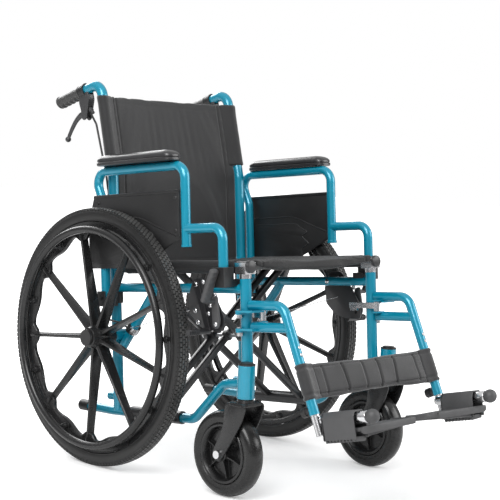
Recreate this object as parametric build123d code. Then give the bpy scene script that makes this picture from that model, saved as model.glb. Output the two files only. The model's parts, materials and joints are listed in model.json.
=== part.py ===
"""Folding manual wheelchair with flip-back armrests and swing-away footrests.

Millimetres, +Z up, the chair faces -Y and stands on Z = 0, centred on X = 0.
"left" and "right" are the seated person's: left is +X. The welded frame is raked:
it is drawn in its own upright axes with the rear axle line as origin, then leaned
back about that line. Wheels and castors are drawn straight in the floor axes.
"""

import os
from math import atan2, cos, degrees, hypot, pi, radians, sin, tan

from build123d import *

# ---- overall placing ----
RAKE = 5.0  # degrees the whole frame leans back
AXLE_Y = 242.0  # rear axle line in the finished part
AXLE_Z = 305.0

# ---- running clearances and cut allowances ----
RUN = 0.06  # radial gap of a turning fit
SLIP = 0.1  # radial gap of a clamped or sleeved fit

# ---- side frame, frame axes ----
SIDE_X = 214.0
TUBE_R = 11.0
POST_R = 12.7
POST_Y = -423.0
POST_TOP_Z = 135.0
POST_FOOT_Z = -100.0
CANE_Y = 16.0
UPPER_TUBE_Z = 113.0
LOWER_TUBE_Z = -184.0
LOWER_BEND_R = 40.0
TIP_Y = 150.0
TIP_Z = -178.0
BRACE_TOP_Y = -132.0
BRACE_FOOT_Z = -51.0
BACK_BEND_Z = 385.0
BACK_LEAN = 9.5
HANDLE_BEND_R = 30.0
HANDLE_CORNER_Z = 610.0
HANDLE_DROOP = 12.5
HANDLE_LENGTH = 160.0
LEVER_CLAMP_AT = 64.0  # along the handle from its corner
GRIP_FROM = 76.0
BACK_SLEEVE = (45.0, 189.0)  # along the cane from its bend
AXLE_HOUSING_R = 14.0
RECEIVER_Z = -149.0
RECEIVER_BORE_R = 7.0

# ---- castors, floor axes measured from the rear axle line ----
STEM_X = 243.0
STEM_Y = -452.0
STEM_R = 6.0
BARREL_R = 19.0
BARREL_BOTTOM = 222.0
BARREL_TOP = 294.0
CASTER_TRAIL = 48.0
CASTER_R = 95.0
CASTER_WIDTH = 45.0
CASTER_RIM_R = 68.0
FORK_HALF = 27.0
FORK_PLATE = 4.0

# ---- rear wheels ----
WHEEL_X = 287.0
TYRE_R = 305.0
TYRE_WIDTH = 34.0
RIM_R = 272.0
SPOKES = 9
AXLE_R = 6.0
HUB_R = 26.0
HUB_INNER_X = 244.0
HUB_OUTER_X = 317.0
HANDRIM_X = 319.0
HANDRIM_R = 254.0
HANDRIM_TUBE_R = 9.0

# ---- folding cross braces and seat rails ----
RAIL_Z = 161.0
RAIL_R = 12.7
RAIL_FRONT_Y = -443.0
RAIL_REAR_Y = -20.0
BRACE_BAR = (15.0, 25.0)  # along Y, across the bar
OUTER_BARS_Y = (-193.0, -79.0)
INNER_BARS_Y = (-144.0, -98.0)
SLEEVE_R = 15.0
SLEEVE_Y = (-210.0, -35.0)
PIVOT_BOLT_R = 5.0
PIVOT_Z = (RAIL_Z + LOWER_TUBE_Z) / 2
BRACE_LENGTH = hypot(2 * SIDE_X, RAIL_Z - LOWER_TUBE_Z)
BRACE_ANGLE = degrees(atan2(RAIL_Z - LOWER_TUBE_Z, 2 * SIDE_X))

# ---- armrests ----
ARM_X = 248.0
ARM_PIVOT = (13.0, 93.0)
ARM_TOP_Z = 391.0
ARM_FRONT_Y = -274.0
ARM_FRONT_FOOT_Z = 211.0
ARM_BRANCH_Z = 248.0
ARM_SOCKET_Y = -390.0
ARM_LATCH_FOOT_Z = 140.0
PAD_X = 257.0
PAD_WIDTH = 50.0
PAD_HEIGHT = 25.0
PAD_Y = (-255.0, 16.0)
GUARD_X = 259.6
GUARD_THICK = 3.6

# ---- parking brakes ----
BRAKE_SHOE_PIVOT = (-293.0, 123.0)
BRAKE_LEVER_PIVOT = (-360.0, 36.0)
BRAKE_PLATE_X = 231.0
SHOE_AT = (-328.0, 20.0)
SHOE_R = 8.0
BRAKE_HANDLE_X = 274.0

# ---- hangers and footrests ----
HINGE_X = 236.0
HINGE_UPPER_Z = 58.0
HINGE_LOWER_Z = 19.0
HANGER_TOP_Z = 77.0
HANGER_LOW_Z = 30.0
HANGER_CORNER_Y = -534.0
HANGER_SLOPE = 20.0
HANGER_END = 240.0  # along the sloping tube from its upper corner
FOOT_TUBE_R = 9.4
FOOT_TUBE_SPAN = (120.0, 285.0)
FOOT_PIVOT_X = 206.0
FOOT_PIVOT_Y = -622.0
FOOT_PIVOT_Z = -161.0
FOOT_TILT = 8.0
FOOT_AXIS_R = 10.5
BUSH_R = 13.0
PLATE_SPAN = (20.0, 122.0)
PLATE_INNER_X = 24.0


# ---------------------------------------------------------------- helpers
def block(x, y, z):
    """Box from three (low, high) pairs."""
    size = Box(x[1] - x[0], y[1] - y[0], z[1] - z[0])
    return Pos((x[0] + x[1]) / 2, (y[0] + y[1]) / 2, (z[0] + z[1]) / 2) * size


def rod(start, end, radius):
    """Round bar between two points."""
    a = Vector(*start)
    b = Vector(*end)
    return Part(Solid.make_cylinder(radius, (b - a).length, Plane(origin=a, z_dir=b - a)).wrapped)


def ball(centre, radius):
    return Pos(*centre) * Sphere(radius)


def side_plate(points, x_low, x_high):
    """Flat plate drawn in Y and Z, standing between two X values."""
    outline = make_face(Polyline(*points, close=True))
    return extrude(Plane.YZ.offset(x_low) * outline, x_high - x_low)


def flat_plate(points, z_low, z_high):
    """Flat plate drawn in X and Y, lying between two Z values."""
    outline = make_face(Polyline(*points, close=True))
    return extrude(Plane.XY.offset(z_low) * outline, z_high - z_low)


def bent_path(points, radius):
    """Straight runs joined by arcs of one bend radius."""
    corners = [Vector(*p) for p in points]
    edges = []
    start = corners[0]
    for before, corner, after in zip(corners, corners[1:], corners[2:]):
        into = (corner - before).normalized()
        out = (after - corner).normalized()
        half_turn = radians(into.get_angle(out)) / 2
        setback = radius * tan(half_turn)
        bend_in = corner - into * setback
        bend_out = corner + out * setback
        inward = (out - into).normalized()
        middle = corner + inward * (radius / cos(half_turn) - radius)
        edges.append(Edge.make_line(start, bend_in))
        edges.append(Edge.make_three_point_arc(bend_in, middle, bend_out))
        start = bend_out
    edges.append(Edge.make_line(start, corners[-1]))
    return Wire(edges)


def bent_bar(points, bar_radius, bend_radius):
    path = bent_path(points, bend_radius)
    return sweep(Plane(origin=path @ 0, z_dir=path % 0) * Circle(bar_radius), path=path)


def turned(points):
    """Solid of revolution about the X axis from (x, radius) points."""
    profile = make_face(Polyline(*[(x, r, 0) for x, r in points], close=True))
    return revolve(profile, axis=Axis.X)


def place(shape):
    """Frame axes to floor axes."""
    return Pos(0, AXLE_Y, AXLE_Z) * Rot(-RAKE, 0, 0) * shape


def along(origin, direction, distance):
    return tuple(o + d * distance for o, d in zip(origin, direction))


def save(name, shape):
    export_step(shape, f"parts/{name}.step")


def save_pair(name, shape):
    """The left one as drawn and the right one mirrored."""
    save(f"{name}_left", shape)
    save(f"{name}_right", mirror(shape, about=Plane.YZ))


def group(*solids):
    """Separate solids kept in one piece."""
    return Compound([solid for shape in solids for solid in shape.solids()])


# ---------------------------------------------------------------- shared directions
LEAN = (0.0, sin(radians(BACK_LEAN)), cos(radians(BACK_LEAN)))
DROOP = (0.0, cos(radians(HANDLE_DROOP)), -sin(radians(HANDLE_DROOP)))
SLOPE = (0.0, -sin(radians(HANGER_SLOPE)), -cos(radians(HANGER_SLOPE)))
SLOPE_FRONT = (0.0, -cos(radians(HANGER_SLOPE)), sin(radians(HANGER_SLOPE)))
TOE = (0.0, -cos(radians(FOOT_TILT)), sin(radians(FOOT_TILT)))
CANE_BEND = (SIDE_X, CANE_Y, BACK_BEND_Z)
HANDLE_CORNER = along(CANE_BEND, LEAN, (HANDLE_CORNER_Z - BACK_BEND_Z) / LEAN[2])
HANGER_CORNER = (SIDE_X, HANGER_CORNER_Y, HANGER_TOP_Z)
FOOT_PIVOT = (FOOT_PIVOT_X, FOOT_PIVOT_Y, FOOT_PIVOT_Z)
HAND_LEVER_PIVOT = (SIDE_X, 111.0, 535.0)


# ---------------------------------------------------------------- side frame
def hinge_lugs():
    """Two lugs outboard of the post that carry the hanger pins."""
    lugs = []
    for z in (HINGE_UPPER_Z, HINGE_LOWER_Z):
        arm = block((SIDE_X, HINGE_X), (POST_Y - 9, POST_Y + 9), (z, z + 4))
        eye = rod((HINGE_X, POST_Y, z), (HINGE_X, POST_Y, z + 4), 9)
        lugs.append(arm + eye - rod((HINGE_X, POST_Y, z - 1), (HINGE_X, POST_Y, z + 5), 4 + RUN))
    return lugs


def side_frame():
    """Welded tube frame: post, two side tubes, diagonal, back cane with push handle, castor barrel."""
    handle_end = along(HANDLE_CORNER, DROOP, HANDLE_LENGTH)
    cane = [(SIDE_X, CANE_Y, LOWER_TUBE_Z), CANE_BEND, HANDLE_CORNER, handle_end]
    lower = [
        (SIDE_X, TIP_Y, TIP_Z),
        (SIDE_X, 40, LOWER_TUBE_Z),
        (SIDE_X, -250, LOWER_TUBE_Z),
        (SIDE_X, -350, -98),
        (SIDE_X + 4, -415, -94),
        (STEM_X, -446, -88),
    ]
    frame = bent_bar(cane, POST_R, HANDLE_BEND_R)
    frame += rod((SIDE_X, POST_Y, POST_FOOT_Z), (SIDE_X, POST_Y, POST_TOP_Z), POST_R)
    frame += rod((SIDE_X, POST_Y, UPPER_TUBE_Z), (SIDE_X, CANE_Y, UPPER_TUBE_Z), TUBE_R)
    frame += rod((SIDE_X, BRACE_TOP_Y, UPPER_TUBE_Z), (SIDE_X, CANE_Y, BRACE_FOOT_Z), TUBE_R)
    frame += bent_bar(lower, TUBE_R, LOWER_BEND_R)
    frame += rod((SIDE_X - 15, 0, 0), (SIDE_X + 26, 0, 0), AXLE_HOUSING_R)
    frame += rod((SIDE_X, CANE_Y, RECEIVER_Z), (SIDE_X, 48, RECEIVER_Z), 9.5)
    for lug in hinge_lugs():
        frame += lug
    frame -= rod((SIDE_X - 20, 0, 0), (SIDE_X + 30, 0, 0), AXLE_R + RUN)
    frame -= rod((SIDE_X, 24, RECEIVER_Z), (SIDE_X, 50, RECEIVER_Z), RECEIVER_BORE_R)
    world = place(frame)
    stem_y = AXLE_Y + STEM_Y
    world += rod((STEM_X, stem_y, BARREL_BOTTOM), (STEM_X, stem_y, BARREL_TOP), BARREL_R)
    world -= rod((STEM_X, stem_y, BARREL_BOTTOM - 9), (STEM_X, stem_y, BARREL_TOP - 4), STEM_R + RUN)
    return world


def frame_end_caps():
    """Plastic tip on the tipping lever and domed cap on the castor barrel."""
    direction = (0.0, TIP_Y - 40, TIP_Z - LOWER_TUBE_Z)
    length = hypot(direction[1], direction[2])
    unit = tuple(d / length for d in direction)
    tip = (SIDE_X, TIP_Y, TIP_Z)
    cap = rod(along(tip, unit, -26), along(tip, unit, 7), 13.5)
    cap -= rod(along(tip, unit, -30), along(tip, unit, SLIP), TUBE_R + SLIP)
    stem_y = AXLE_Y + STEM_Y
    dome = rod((STEM_X, stem_y, BARREL_TOP + SLIP), (STEM_X, stem_y, BARREL_TOP + 3), BARREL_R)
    dome += rod((STEM_X, stem_y, BARREL_TOP + 2), (STEM_X, stem_y, BARREL_TOP + 6), BARREL_R - 5)
    return group(place(cap), dome)


def post_fittings():
    """Saddle the seat rail drops into, and the two pins the hanger hangs on."""
    saddle = rod((SIDE_X, POST_Y, POST_TOP_Z + SLIP), (SIDE_X, POST_Y, POST_TOP_Z + 12), 13.5)
    cup = block((SIDE_X - 16.5, SIDE_X + 16.5), (POST_Y - 16, POST_Y + 16), (POST_TOP_Z + 10, RAIL_Z + 9))
    rail = rod((SIDE_X, POST_Y - 20, RAIL_Z), (SIDE_X, POST_Y + 20, RAIL_Z), RAIL_R + 0.3)
    mouth = block((SIDE_X - 13, SIDE_X + 13), (POST_Y - 20, POST_Y + 20), (RAIL_Z, RAIL_Z + 20))
    saddle = saddle + cup - rail - mouth
    pins = []
    for z in (HINGE_UPPER_Z, HINGE_LOWER_Z):
        pin = rod((HINGE_X, POST_Y, z - 4), (HINGE_X, POST_Y, z + 10), 4)
        pin += rod((HINGE_X, POST_Y, z - 8), (HINGE_X, POST_Y, z - SLIP), 6.5)
        pin += rod((HINGE_X, POST_Y, z + 9.6), (HINGE_X, POST_Y, z + 12), 6)
        pins.append(pin)
    return place(group(saddle, *pins))


# ---------------------------------------------------------------- rear wheel
def wheel_axle():
    """Bolt through the frame and hub, with its nut inside and cap outside."""
    bolt = rod((SIDE_X - 22, 0, 0), (HUB_OUTER_X + 4, 0, 0), AXLE_R)
    bolt += rod((SIDE_X - 24, 0, 0), (SIDE_X - 15.2, 0, 0), 10)
    bolt += rod((SIDE_X + 26.2, 0, 0), (HUB_INNER_X - 0.4, 0, 0), 9)
    bolt += rod((HUB_OUTER_X + 1.2, 0, 0), (HUB_OUTER_X + 8, 0, 0), 19)
    return Pos(0, AXLE_Y, AXLE_Z) * bolt


def wheel():
    """One-piece moulded wheel: nine ribbed spokes and nine handrim bosses."""
    body = turned([
        (HUB_INNER_X, 0),
        (HUB_INNER_X, HUB_R - 4),
        (HUB_INNER_X + 6, HUB_R),
        (HUB_OUTER_X - 8, HUB_R),
        (HUB_OUTER_X, HUB_R - 6),
        (HUB_OUTER_X, 0),
    ])
    body += turned([
        (WHEEL_X - 14, RIM_R - 16),
        (WHEEL_X + 14, RIM_R - 16),
        (WHEEL_X + 15.5, RIM_R),
        (WHEEL_X - 15.5, RIM_R),
    ])
    web = [(14, -11), (RIM_R - 8, -8), (RIM_R - 8, 8), (14, 11)]
    rib = [(14, -4), (RIM_R - 8, -3), (RIM_R - 8, 3), (14, 4)]
    for k in range(SPOKES):
        turn = Rot(360 / SPOKES * k, 0, 0)
        body += turn * side_plate(web, WHEEL_X - 5, WHEEL_X + 5)
        body += turn * side_plate(rib, WHEEL_X - 11, WHEEL_X + 11)
        boss = Rot(360 / SPOKES * (k + 0.5), 0, 0)
        body += boss * rod((WHEEL_X - 10, HANDRIM_R - 2, 0), (WHEEL_X + 14, HANDRIM_R - 2, 0), 15)
    body &= turned([(HUB_INNER_X, 0), (HUB_INNER_X, RIM_R), (HUB_OUTER_X, RIM_R), (HUB_OUTER_X, 0)])
    body -= rod((HUB_INNER_X - 5, 0, 0), (HUB_OUTER_X + 5, 0, 0), AXLE_R + RUN)
    return Pos(0, AXLE_Y, AXLE_Z) * body


def tyre(centre_x, outer_r, inner_r, width):
    """Rounded solid tyre with a shallow groove each side of the tread."""
    half = width / 2
    shoulder = outer_r - (outer_r - inner_r) * 0.45
    outline = [
        (centre_x - half * 0.82, inner_r + SLIP),
        (centre_x - half, inner_r + (shoulder - inner_r) * 0.6),
        (centre_x - half * 0.97, shoulder),
        (centre_x - half * 0.72, outer_r - (outer_r - shoulder) * 0.35),
        (centre_x - half * 0.3, outer_r),
        (centre_x - half * 0.22, outer_r - 2),
        (centre_x - half * 0.1, outer_r),
    ]
    mirrored = [(2 * centre_x - x, r) for x, r in reversed(outline)]
    return turned(outline + mirrored)


def handrim():
    """Push ring with nine studs to the wheel bosses."""
    ring = revolve(Pos(HANDRIM_X, HANDRIM_R, 0) * Circle(HANDRIM_TUBE_R), axis=Axis.X)
    studs = []
    tip_x = HANDRIM_X - HANDRIM_TUBE_R - SLIP
    for k in range(SPOKES):
        turn = Rot(360 / SPOKES * (k + 0.5), 0, 0)
        studs.append(turn * rod((WHEEL_X + 14.2, HANDRIM_R - 2, 0), (tip_x, HANDRIM_R - 2, 0), 5))
    return Pos(0, AXLE_Y, AXLE_Z) * group(ring, *studs)


# ---------------------------------------------------------------- castor
def caster_parts():
    """Fork with stem, axle bolt, moulded wheel and solid tyre."""
    stem_y = AXLE_Y + STEM_Y
    hub_y = stem_y + CASTER_TRAIL
    crown = 207.0
    outer = FORK_HALF + FORK_PLATE
    fork = block((STEM_X - outer, STEM_X + outer), (stem_y - 24, stem_y + 26), (crown, crown + 6))
    leg = [
        (stem_y - 24, crown + 6),
        (stem_y + 26, crown + 6),
        (stem_y + 34, crown - 30),
        (hub_y + 14, CASTER_R),
        (hub_y, CASTER_R - 14),
        (hub_y - 14, CASTER_R),
        (stem_y - 8, crown - 34),
    ]
    for side in (-1, 1):
        inner = STEM_X + side * FORK_HALF
        edges = sorted((inner, inner + side * FORK_PLATE))
        fork += side_plate(leg, *edges)
    axle_from = (STEM_X - outer - 6, hub_y, CASTER_R)
    axle_to = (STEM_X + outer + 6, hub_y, CASTER_R)
    fork += rod((STEM_X, stem_y, crown), (STEM_X, stem_y, BARREL_BOTTOM - 2), 16)
    fork += rod((STEM_X, stem_y, crown), (STEM_X, stem_y, BARREL_TOP - 6), STEM_R)
    fork -= rod(axle_from, axle_to, 4 + RUN)
    bolt = rod(axle_from, axle_to, 4)
    for side in (-1, 1):
        seat = STEM_X + side * (outer + 0.2)
        bolt += rod((seat, hub_y, CASTER_R), (seat + side * 6, hub_y, CASTER_R), 9)
    half = CASTER_WIDTH / 2
    rim = turned([(-half - 2, 4 + RUN), (-half - 2, 16), (half + 2, 16), (half + 2, 4 + RUN)])
    rim += turned([(-half + 4, CASTER_RIM_R - 9), (half - 4, CASTER_RIM_R - 9),
                   (half - 4, CASTER_RIM_R), (-half + 4, CASTER_RIM_R)])
    rim += turned([(-3, 14), (3, 14), (3, CASTER_RIM_R - 7), (-3, CASTER_RIM_R - 7)])
    for k in range(6):
        turn = Rot(60 * k, 0, 0)
        rim += turn * block((-10, 10), (14, CASTER_RIM_R - 7), (-2, 2))
    rim = Pos(STEM_X, hub_y, CASTER_R) * rim
    rubber = Pos(STEM_X, hub_y, CASTER_R) * tyre(0, CASTER_R, CASTER_RIM_R, CASTER_WIDTH)
    return fork, bolt, rim, rubber


# ---------------------------------------------------------------- folding seat
def seat_rail(x):
    return rod((x, RAIL_FRONT_Y, RAIL_Z), (x, RAIL_REAR_Y, RAIL_Z), RAIL_R)


def brace(side, bar_ys, bolt_gap):
    """Pair of bars from a lower-tube sleeve on one side up to the seat rail of the other.

    side is +1 when the sleeve turns on the left lower tube.
    """
    thick, deep = BRACE_BAR
    frame = seat_rail(-side * SIDE_X)
    foot_a = (side * SIDE_X, SLEEVE_Y[0], LOWER_TUBE_Z)
    foot_b = (side * SIDE_X, SLEEVE_Y[1], LOWER_TUBE_Z)
    frame += rod(foot_a, foot_b, SLEEVE_R)
    for y in bar_ys:
        bar = Rot(0, side * BRACE_ANGLE, 0) * Box(BRACE_LENGTH, thick, deep)
        frame += Pos(0, y, PIVOT_Z) * bar
        frame += rod((0, y - thick / 2, PIVOT_Z), (0, y + thick / 2, PIVOT_Z), deep / 2 + 3)
    frame -= rod(along(foot_a, (0, -1, 0), 5), along(foot_b, (0, 1, 0), 5), TUBE_R + SLIP)
    return frame - rod((0, -230, PIVOT_Z), (0, -40, PIVOT_Z), PIVOT_BOLT_R + bolt_gap)


def pivot_bolt():
    low = OUTER_BARS_Y[0] - BRACE_BAR[0] / 2 - 0.5
    high = OUTER_BARS_Y[1] + BRACE_BAR[0] / 2 + 0.5
    bolt = rod((0, low - 8, PIVOT_Z), (0, high + 8, PIVOT_Z), PIVOT_BOLT_R)
    bolt += rod((0, low - 8, PIVOT_Z), (0, low, PIVOT_Z), 9)
    return bolt + rod((0, high, PIVOT_Z), (0, high + 8, PIVOT_Z), 9)


def sling_section(half_width, wrap_angles):
    """Section across the seat sheet: a sagging middle that runs onto the tops of both rails."""
    over = [radians(t) for t in wrap_angles]
    wrap_r = RAIL_R + SLIP
    outer = [(SIDE_X + (wrap_r + 2.6) * cos(t), RAIL_Z + (wrap_r + 2.6) * sin(t)) for t in over]
    inner = [(SIDE_X + wrap_r * cos(t), RAIL_Z + wrap_r * sin(t)) for t in over]
    top = []
    bottom = []
    for k in range(-12, 13):
        x = half_width / 12 * k
        height = RAIL_Z - 2 + 17.0 * (x / SIDE_X) ** 2
        top.append((x, height))
        bottom.append((x, height - 7))
    left_side = outer + inner[::-1]
    right_side = [(-x, z) for x, z in reversed(left_side)]
    return make_face(Polyline(*(top + left_side + bottom[::-1] + right_side), close=True))


def seat_sling():
    """Padded sheet hung between the rails and wrapped over them behind the saddles."""
    wrap_front = POST_Y + 19
    front = extrude(Plane.XZ.offset(-wrap_front) * sling_section(196.5, ()), 37)
    rear = extrude(Plane.XZ.offset(30) * sling_section(196.5, range(125, 20, -10)), -wrap_front - 30)
    return front + rear


def back_sling():
    """Back sheet with a sleeve round each cane above the bend."""
    def sheet_face(half_width):
        rear = []
        front = []
        for k in range(-10, 11):
            x = half_width / 10 * k
            sag = CANE_Y + 18 * (1 - (x / SIDE_X) ** 2)
            front.append((x, sag - 2.5))
            rear.append((x, sag + 2.5))
        return make_face(Polyline(*(front + rear[::-1]), close=True))

    def leaning_sheet(half_width, low, high):
        start = along((0, 0, BACK_BEND_Z), LEAN, low)
        return extrude(Pos(0, start[1], start[2]) * sheet_face(half_width), high - low, dir=LEAN)

    low, high = BACK_SLEEVE
    sling = extrude(Plane.XY.offset(172) * sheet_face(199.5), BACK_BEND_Z - 172 + 4)
    sling += leaning_sheet(199.5, 0, low + 3)
    sling += leaning_sheet(203, low, high)
    for side in (-1, 1):
        bend = (side * SIDE_X, CANE_Y, BACK_BEND_Z)
        sling += rod(along(bend, LEAN, low), along(bend, LEAN, high), POST_R + 2.6)
        sling -= rod(along(bend, LEAN, low - 8), along(bend, LEAN, high + 8), POST_R + SLIP)
    return sling


# ---------------------------------------------------------------- armrest
def armrest_tube():
    pivot_y, pivot_z = ARM_PIVOT
    loop = [
        (ARM_X, pivot_y, pivot_z - 13),
        (ARM_X, pivot_y, 315),
        (ARM_X, 46, ARM_TOP_Z),
        (ARM_X, ARM_FRONT_Y, ARM_TOP_Z),
        (ARM_X, ARM_FRONT_Y, ARM_FRONT_FOOT_Z),
    ]
    branch = [
        (ARM_X, ARM_FRONT_Y, ARM_BRANCH_Z),
        (ARM_X, ARM_SOCKET_Y, ARM_BRANCH_Z),
        (ARM_X, ARM_SOCKET_Y, ARM_LATCH_FOOT_Z),
    ]
    tube = bent_bar(loop, TUBE_R, 30) + bent_bar(branch, TUBE_R, 28)
    foot_z = (ARM_FRONT_FOOT_Z - 4, ARM_FRONT_FOOT_Z + 2)
    tube += rod((ARM_X, ARM_FRONT_Y, foot_z[0]), (ARM_X, ARM_FRONT_Y, foot_z[1]), TUBE_R + 1)
    return tube - rod((ARM_X - 20, pivot_y, pivot_z), (ARM_X + 20, pivot_y, pivot_z), 4 + RUN)


def armrest_pad():
    low = ARM_TOP_Z + TUBE_R + SLIP
    pad = block((PAD_X - PAD_WIDTH / 2, PAD_X + PAD_WIDTH / 2), PAD_Y, (low, low + PAD_HEIGHT))
    pad = fillet(pad.edges().filter_by(Axis.Z), 14)
    return fillet(pad.edges().group_by(Axis.Z)[-1], 9)


def clothing_guard():
    """Thin panel on the outer side of the armrest legs with a raised outline."""
    outline = [(30, 334), (54, 270), (54, 160), (-120, 160), (-180, 184), (-268, 226), (-268, 336)]
    raised = [(20, 312), (46, 262), (46, 168), (-116, 168), (-150, 250), (-110, 312)]
    sunk = [(17, 308), (42, 260), (42, 172), (-113, 172), (-145, 250), (-108, 308)]
    face = GUARD_X + GUARD_THICK
    panel = side_plate(outline, GUARD_X, face)
    panel += side_plate(raised, face - 1, face + 1.2) - side_plate(sunk, face - 2, face + 2)
    for y, z in ((13, 300), (13, 175), (-262, 320), (-262, 240)):
        panel += rod((ARM_X + TUBE_R + 0.05, y, z), (face, y, z), 5)
    return panel


def armrest_mounts():
    """Rear clevis clamped to the cane, its pin, and the front socket on the upper side tube."""
    pivot_y, pivot_z = ARM_PIVOT
    clamp = rod((SIDE_X, CANE_Y, 76), (SIDE_X, CANE_Y, 112), 17)
    clamp += block((226, 236), (-4, 26), (70, 112))
    clamp += block((226, 264), (-4, 28), (70, 75.5))
    clamp += block((260, 264), (0, 26), (70, 106))
    clamp -= rod((SIDE_X, CANE_Y, 60), (SIDE_X, CANE_Y, 120), POST_R + SLIP)
    clamp -= rod((220, pivot_y, pivot_z), (270, pivot_y, pivot_z), 4 + RUN)
    clamp -= rod((SIDE_X, CANE_Y, UPPER_TUBE_Z), (SIDE_X, -20, UPPER_TUBE_Z), TUBE_R + SLIP)
    pin = rod((229, pivot_y, pivot_z), (266, pivot_y, pivot_z), 4)
    pin += rod((264.2, pivot_y, pivot_z), (267, pivot_y, pivot_z), 7)
    slot = 6.0
    saddle_y = (ARM_SOCKET_Y - 16, ARM_SOCKET_Y + 16)
    socket = block((SIDE_X - 8, ARM_X + 8), saddle_y, (119, 134))
    socket += block((ARM_X - 15.5, ARM_X + 15.5), (ARM_SOCKET_Y - 16, ARM_SOCKET_Y + 22), (117, 161))
    below = rod((SIDE_X, saddle_y[0] - 5, UPPER_TUBE_Z), (SIDE_X, saddle_y[1] + 5, UPPER_TUBE_Z), TUBE_R + SLIP)
    socket -= below
    for y in (ARM_SOCKET_Y, ARM_SOCKET_Y + slot):
        socket -= rod((ARM_X, y, 136), (ARM_X, y, 170), TUBE_R + 0.3)
    bore_x = (ARM_X - TUBE_R - 0.3, ARM_X + TUBE_R + 0.3)
    socket -= block(bore_x, (ARM_SOCKET_Y, ARM_SOCKET_Y + slot), (136, 170))
    return group(clamp, pin, socket)


# ---------------------------------------------------------------- parking brake
def brake_bracket():
    """Saddle bolted to the upper side tube with a plate carrying both brake pivots."""
    shoe_y, shoe_z = BRAKE_SHOE_PIVOT
    lever_y, lever_z = BRAKE_LEVER_PIVOT
    low_x = BRAKE_PLATE_X
    saddle_z = (UPPER_TUBE_Z - 13, UPPER_TUBE_Z + 13)
    bracket = block((SIDE_X + 4, low_x + 4), (shoe_y - 16, shoe_y + 14), saddle_z)
    plate = [(shoe_y + 14, 136), (shoe_y + 14, 98), (lever_y + 12, 22),
             (lever_y - 12, 22), (lever_y - 12, 54), (shoe_y - 16, 136)]
    bracket += side_plate(plate, low_x, low_x + 4)
    ends = ((shoe_y, shoe_z), (lever_y, lever_z))
    for y, z in ends:
        bracket += rod((low_x, y, z), (low_x + 21, y, z), 4)
    head = ((shoe_y, shoe_z, low_x + 9.6), (lever_y, lever_z, low_x + 15.6))
    for y, z, x in head:
        bracket += rod((x, y, z), (x + 5, y, z), 7)
    tube = rod((SIDE_X, shoe_y - 20, UPPER_TUBE_Z), (SIDE_X, shoe_y + 20, UPPER_TUBE_Z), TUBE_R + SLIP)
    return bracket - tube


def brake_lever():
    """Push-to-lock hand lever."""
    y, z = BRAKE_LEVER_PIVOT
    x = BRAKE_PLATE_X + 10.4
    outline = [(y + 11, z - 4), (y + 12, z + 58), (y - 4, z + 62),
               (y - 12, z + 4), (y - 6, z - 10), (y + 6, z - 10)]
    arm = side_plate(outline, x, x + 5)
    arm -= rod((x - 1, y, z), (x + 6, y, z), 4 + RUN)
    foot = (BRAKE_HANDLE_X, y + 6, z + 52)
    arm += rod((x, y + 4, z + 50), foot, 5)
    arm += ball(foot, 5)
    top = (BRAKE_HANDLE_X, y - 30, z + 121)
    arm += rod(foot, top, 8)
    return arm + ball(top, 8)


def brake_shoe():
    """Arm with a ribbed bar that presses on the tyre."""
    y, z = BRAKE_SHOE_PIVOT
    x = BRAKE_PLATE_X + 4.6
    shoe_y, shoe_z = SHOE_AT
    outline = [(y + 9, z + 2), (y, z + 10), (y - 9, z + 2),
               (shoe_y - 8, shoe_z), (shoe_y, shoe_z - 8), (shoe_y + 8, shoe_z)]
    arm = side_plate(outline, x, x + 4.5)
    arm -= rod((x - 1, y, z), (x + 6, y, z), 4 + RUN)
    arm += rod((x, shoe_y, shoe_z), (WHEEL_X + 14, shoe_y, shoe_z), SHOE_R - 1.5)
    for k in range(5):
        start = WHEEL_X - 16 + 6 * k
        arm += rod((start, shoe_y, shoe_z), (start + 3, shoe_y, shoe_z), SHOE_R)
    return arm


# ---------------------------------------------------------------- push handle
def push_grip():
    """Rubber grip with finger waves."""
    start = along(HANDLE_CORNER, DROOP, GRIP_FROM)
    end = along(HANDLE_CORNER, DROOP, HANDLE_LENGTH + 4)
    grip = rod(start, end, 14.5)
    for k in range(5):
        at = along(start, DROOP, 3 + 18 * k)
        grip += rod(at, along(at, DROOP, 10), 16)
    bore = rod(along(start, DROOP, -2), along(HANDLE_CORNER, DROOP, HANDLE_LENGTH + SLIP), POST_R + SLIP)
    return grip - bore


def hand_lever():
    """Blade with a ball end, turning in the clamp."""
    x, y, z = HAND_LEVER_PIVOT
    blade = side_plate([(y - 6, z + 6), (y + 6, z + 7), (y + 40, z - 8), (y + 78, z - 44),
                        (y + 74, z - 50), (y + 34, z - 18), (y - 2, z - 8)], x - 3, x + 3)
    blade += ball((x, y + 79, z - 51), 6)
    return blade - rod((x - 5, y, z), (x + 5, y, z), 3 + RUN)


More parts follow.
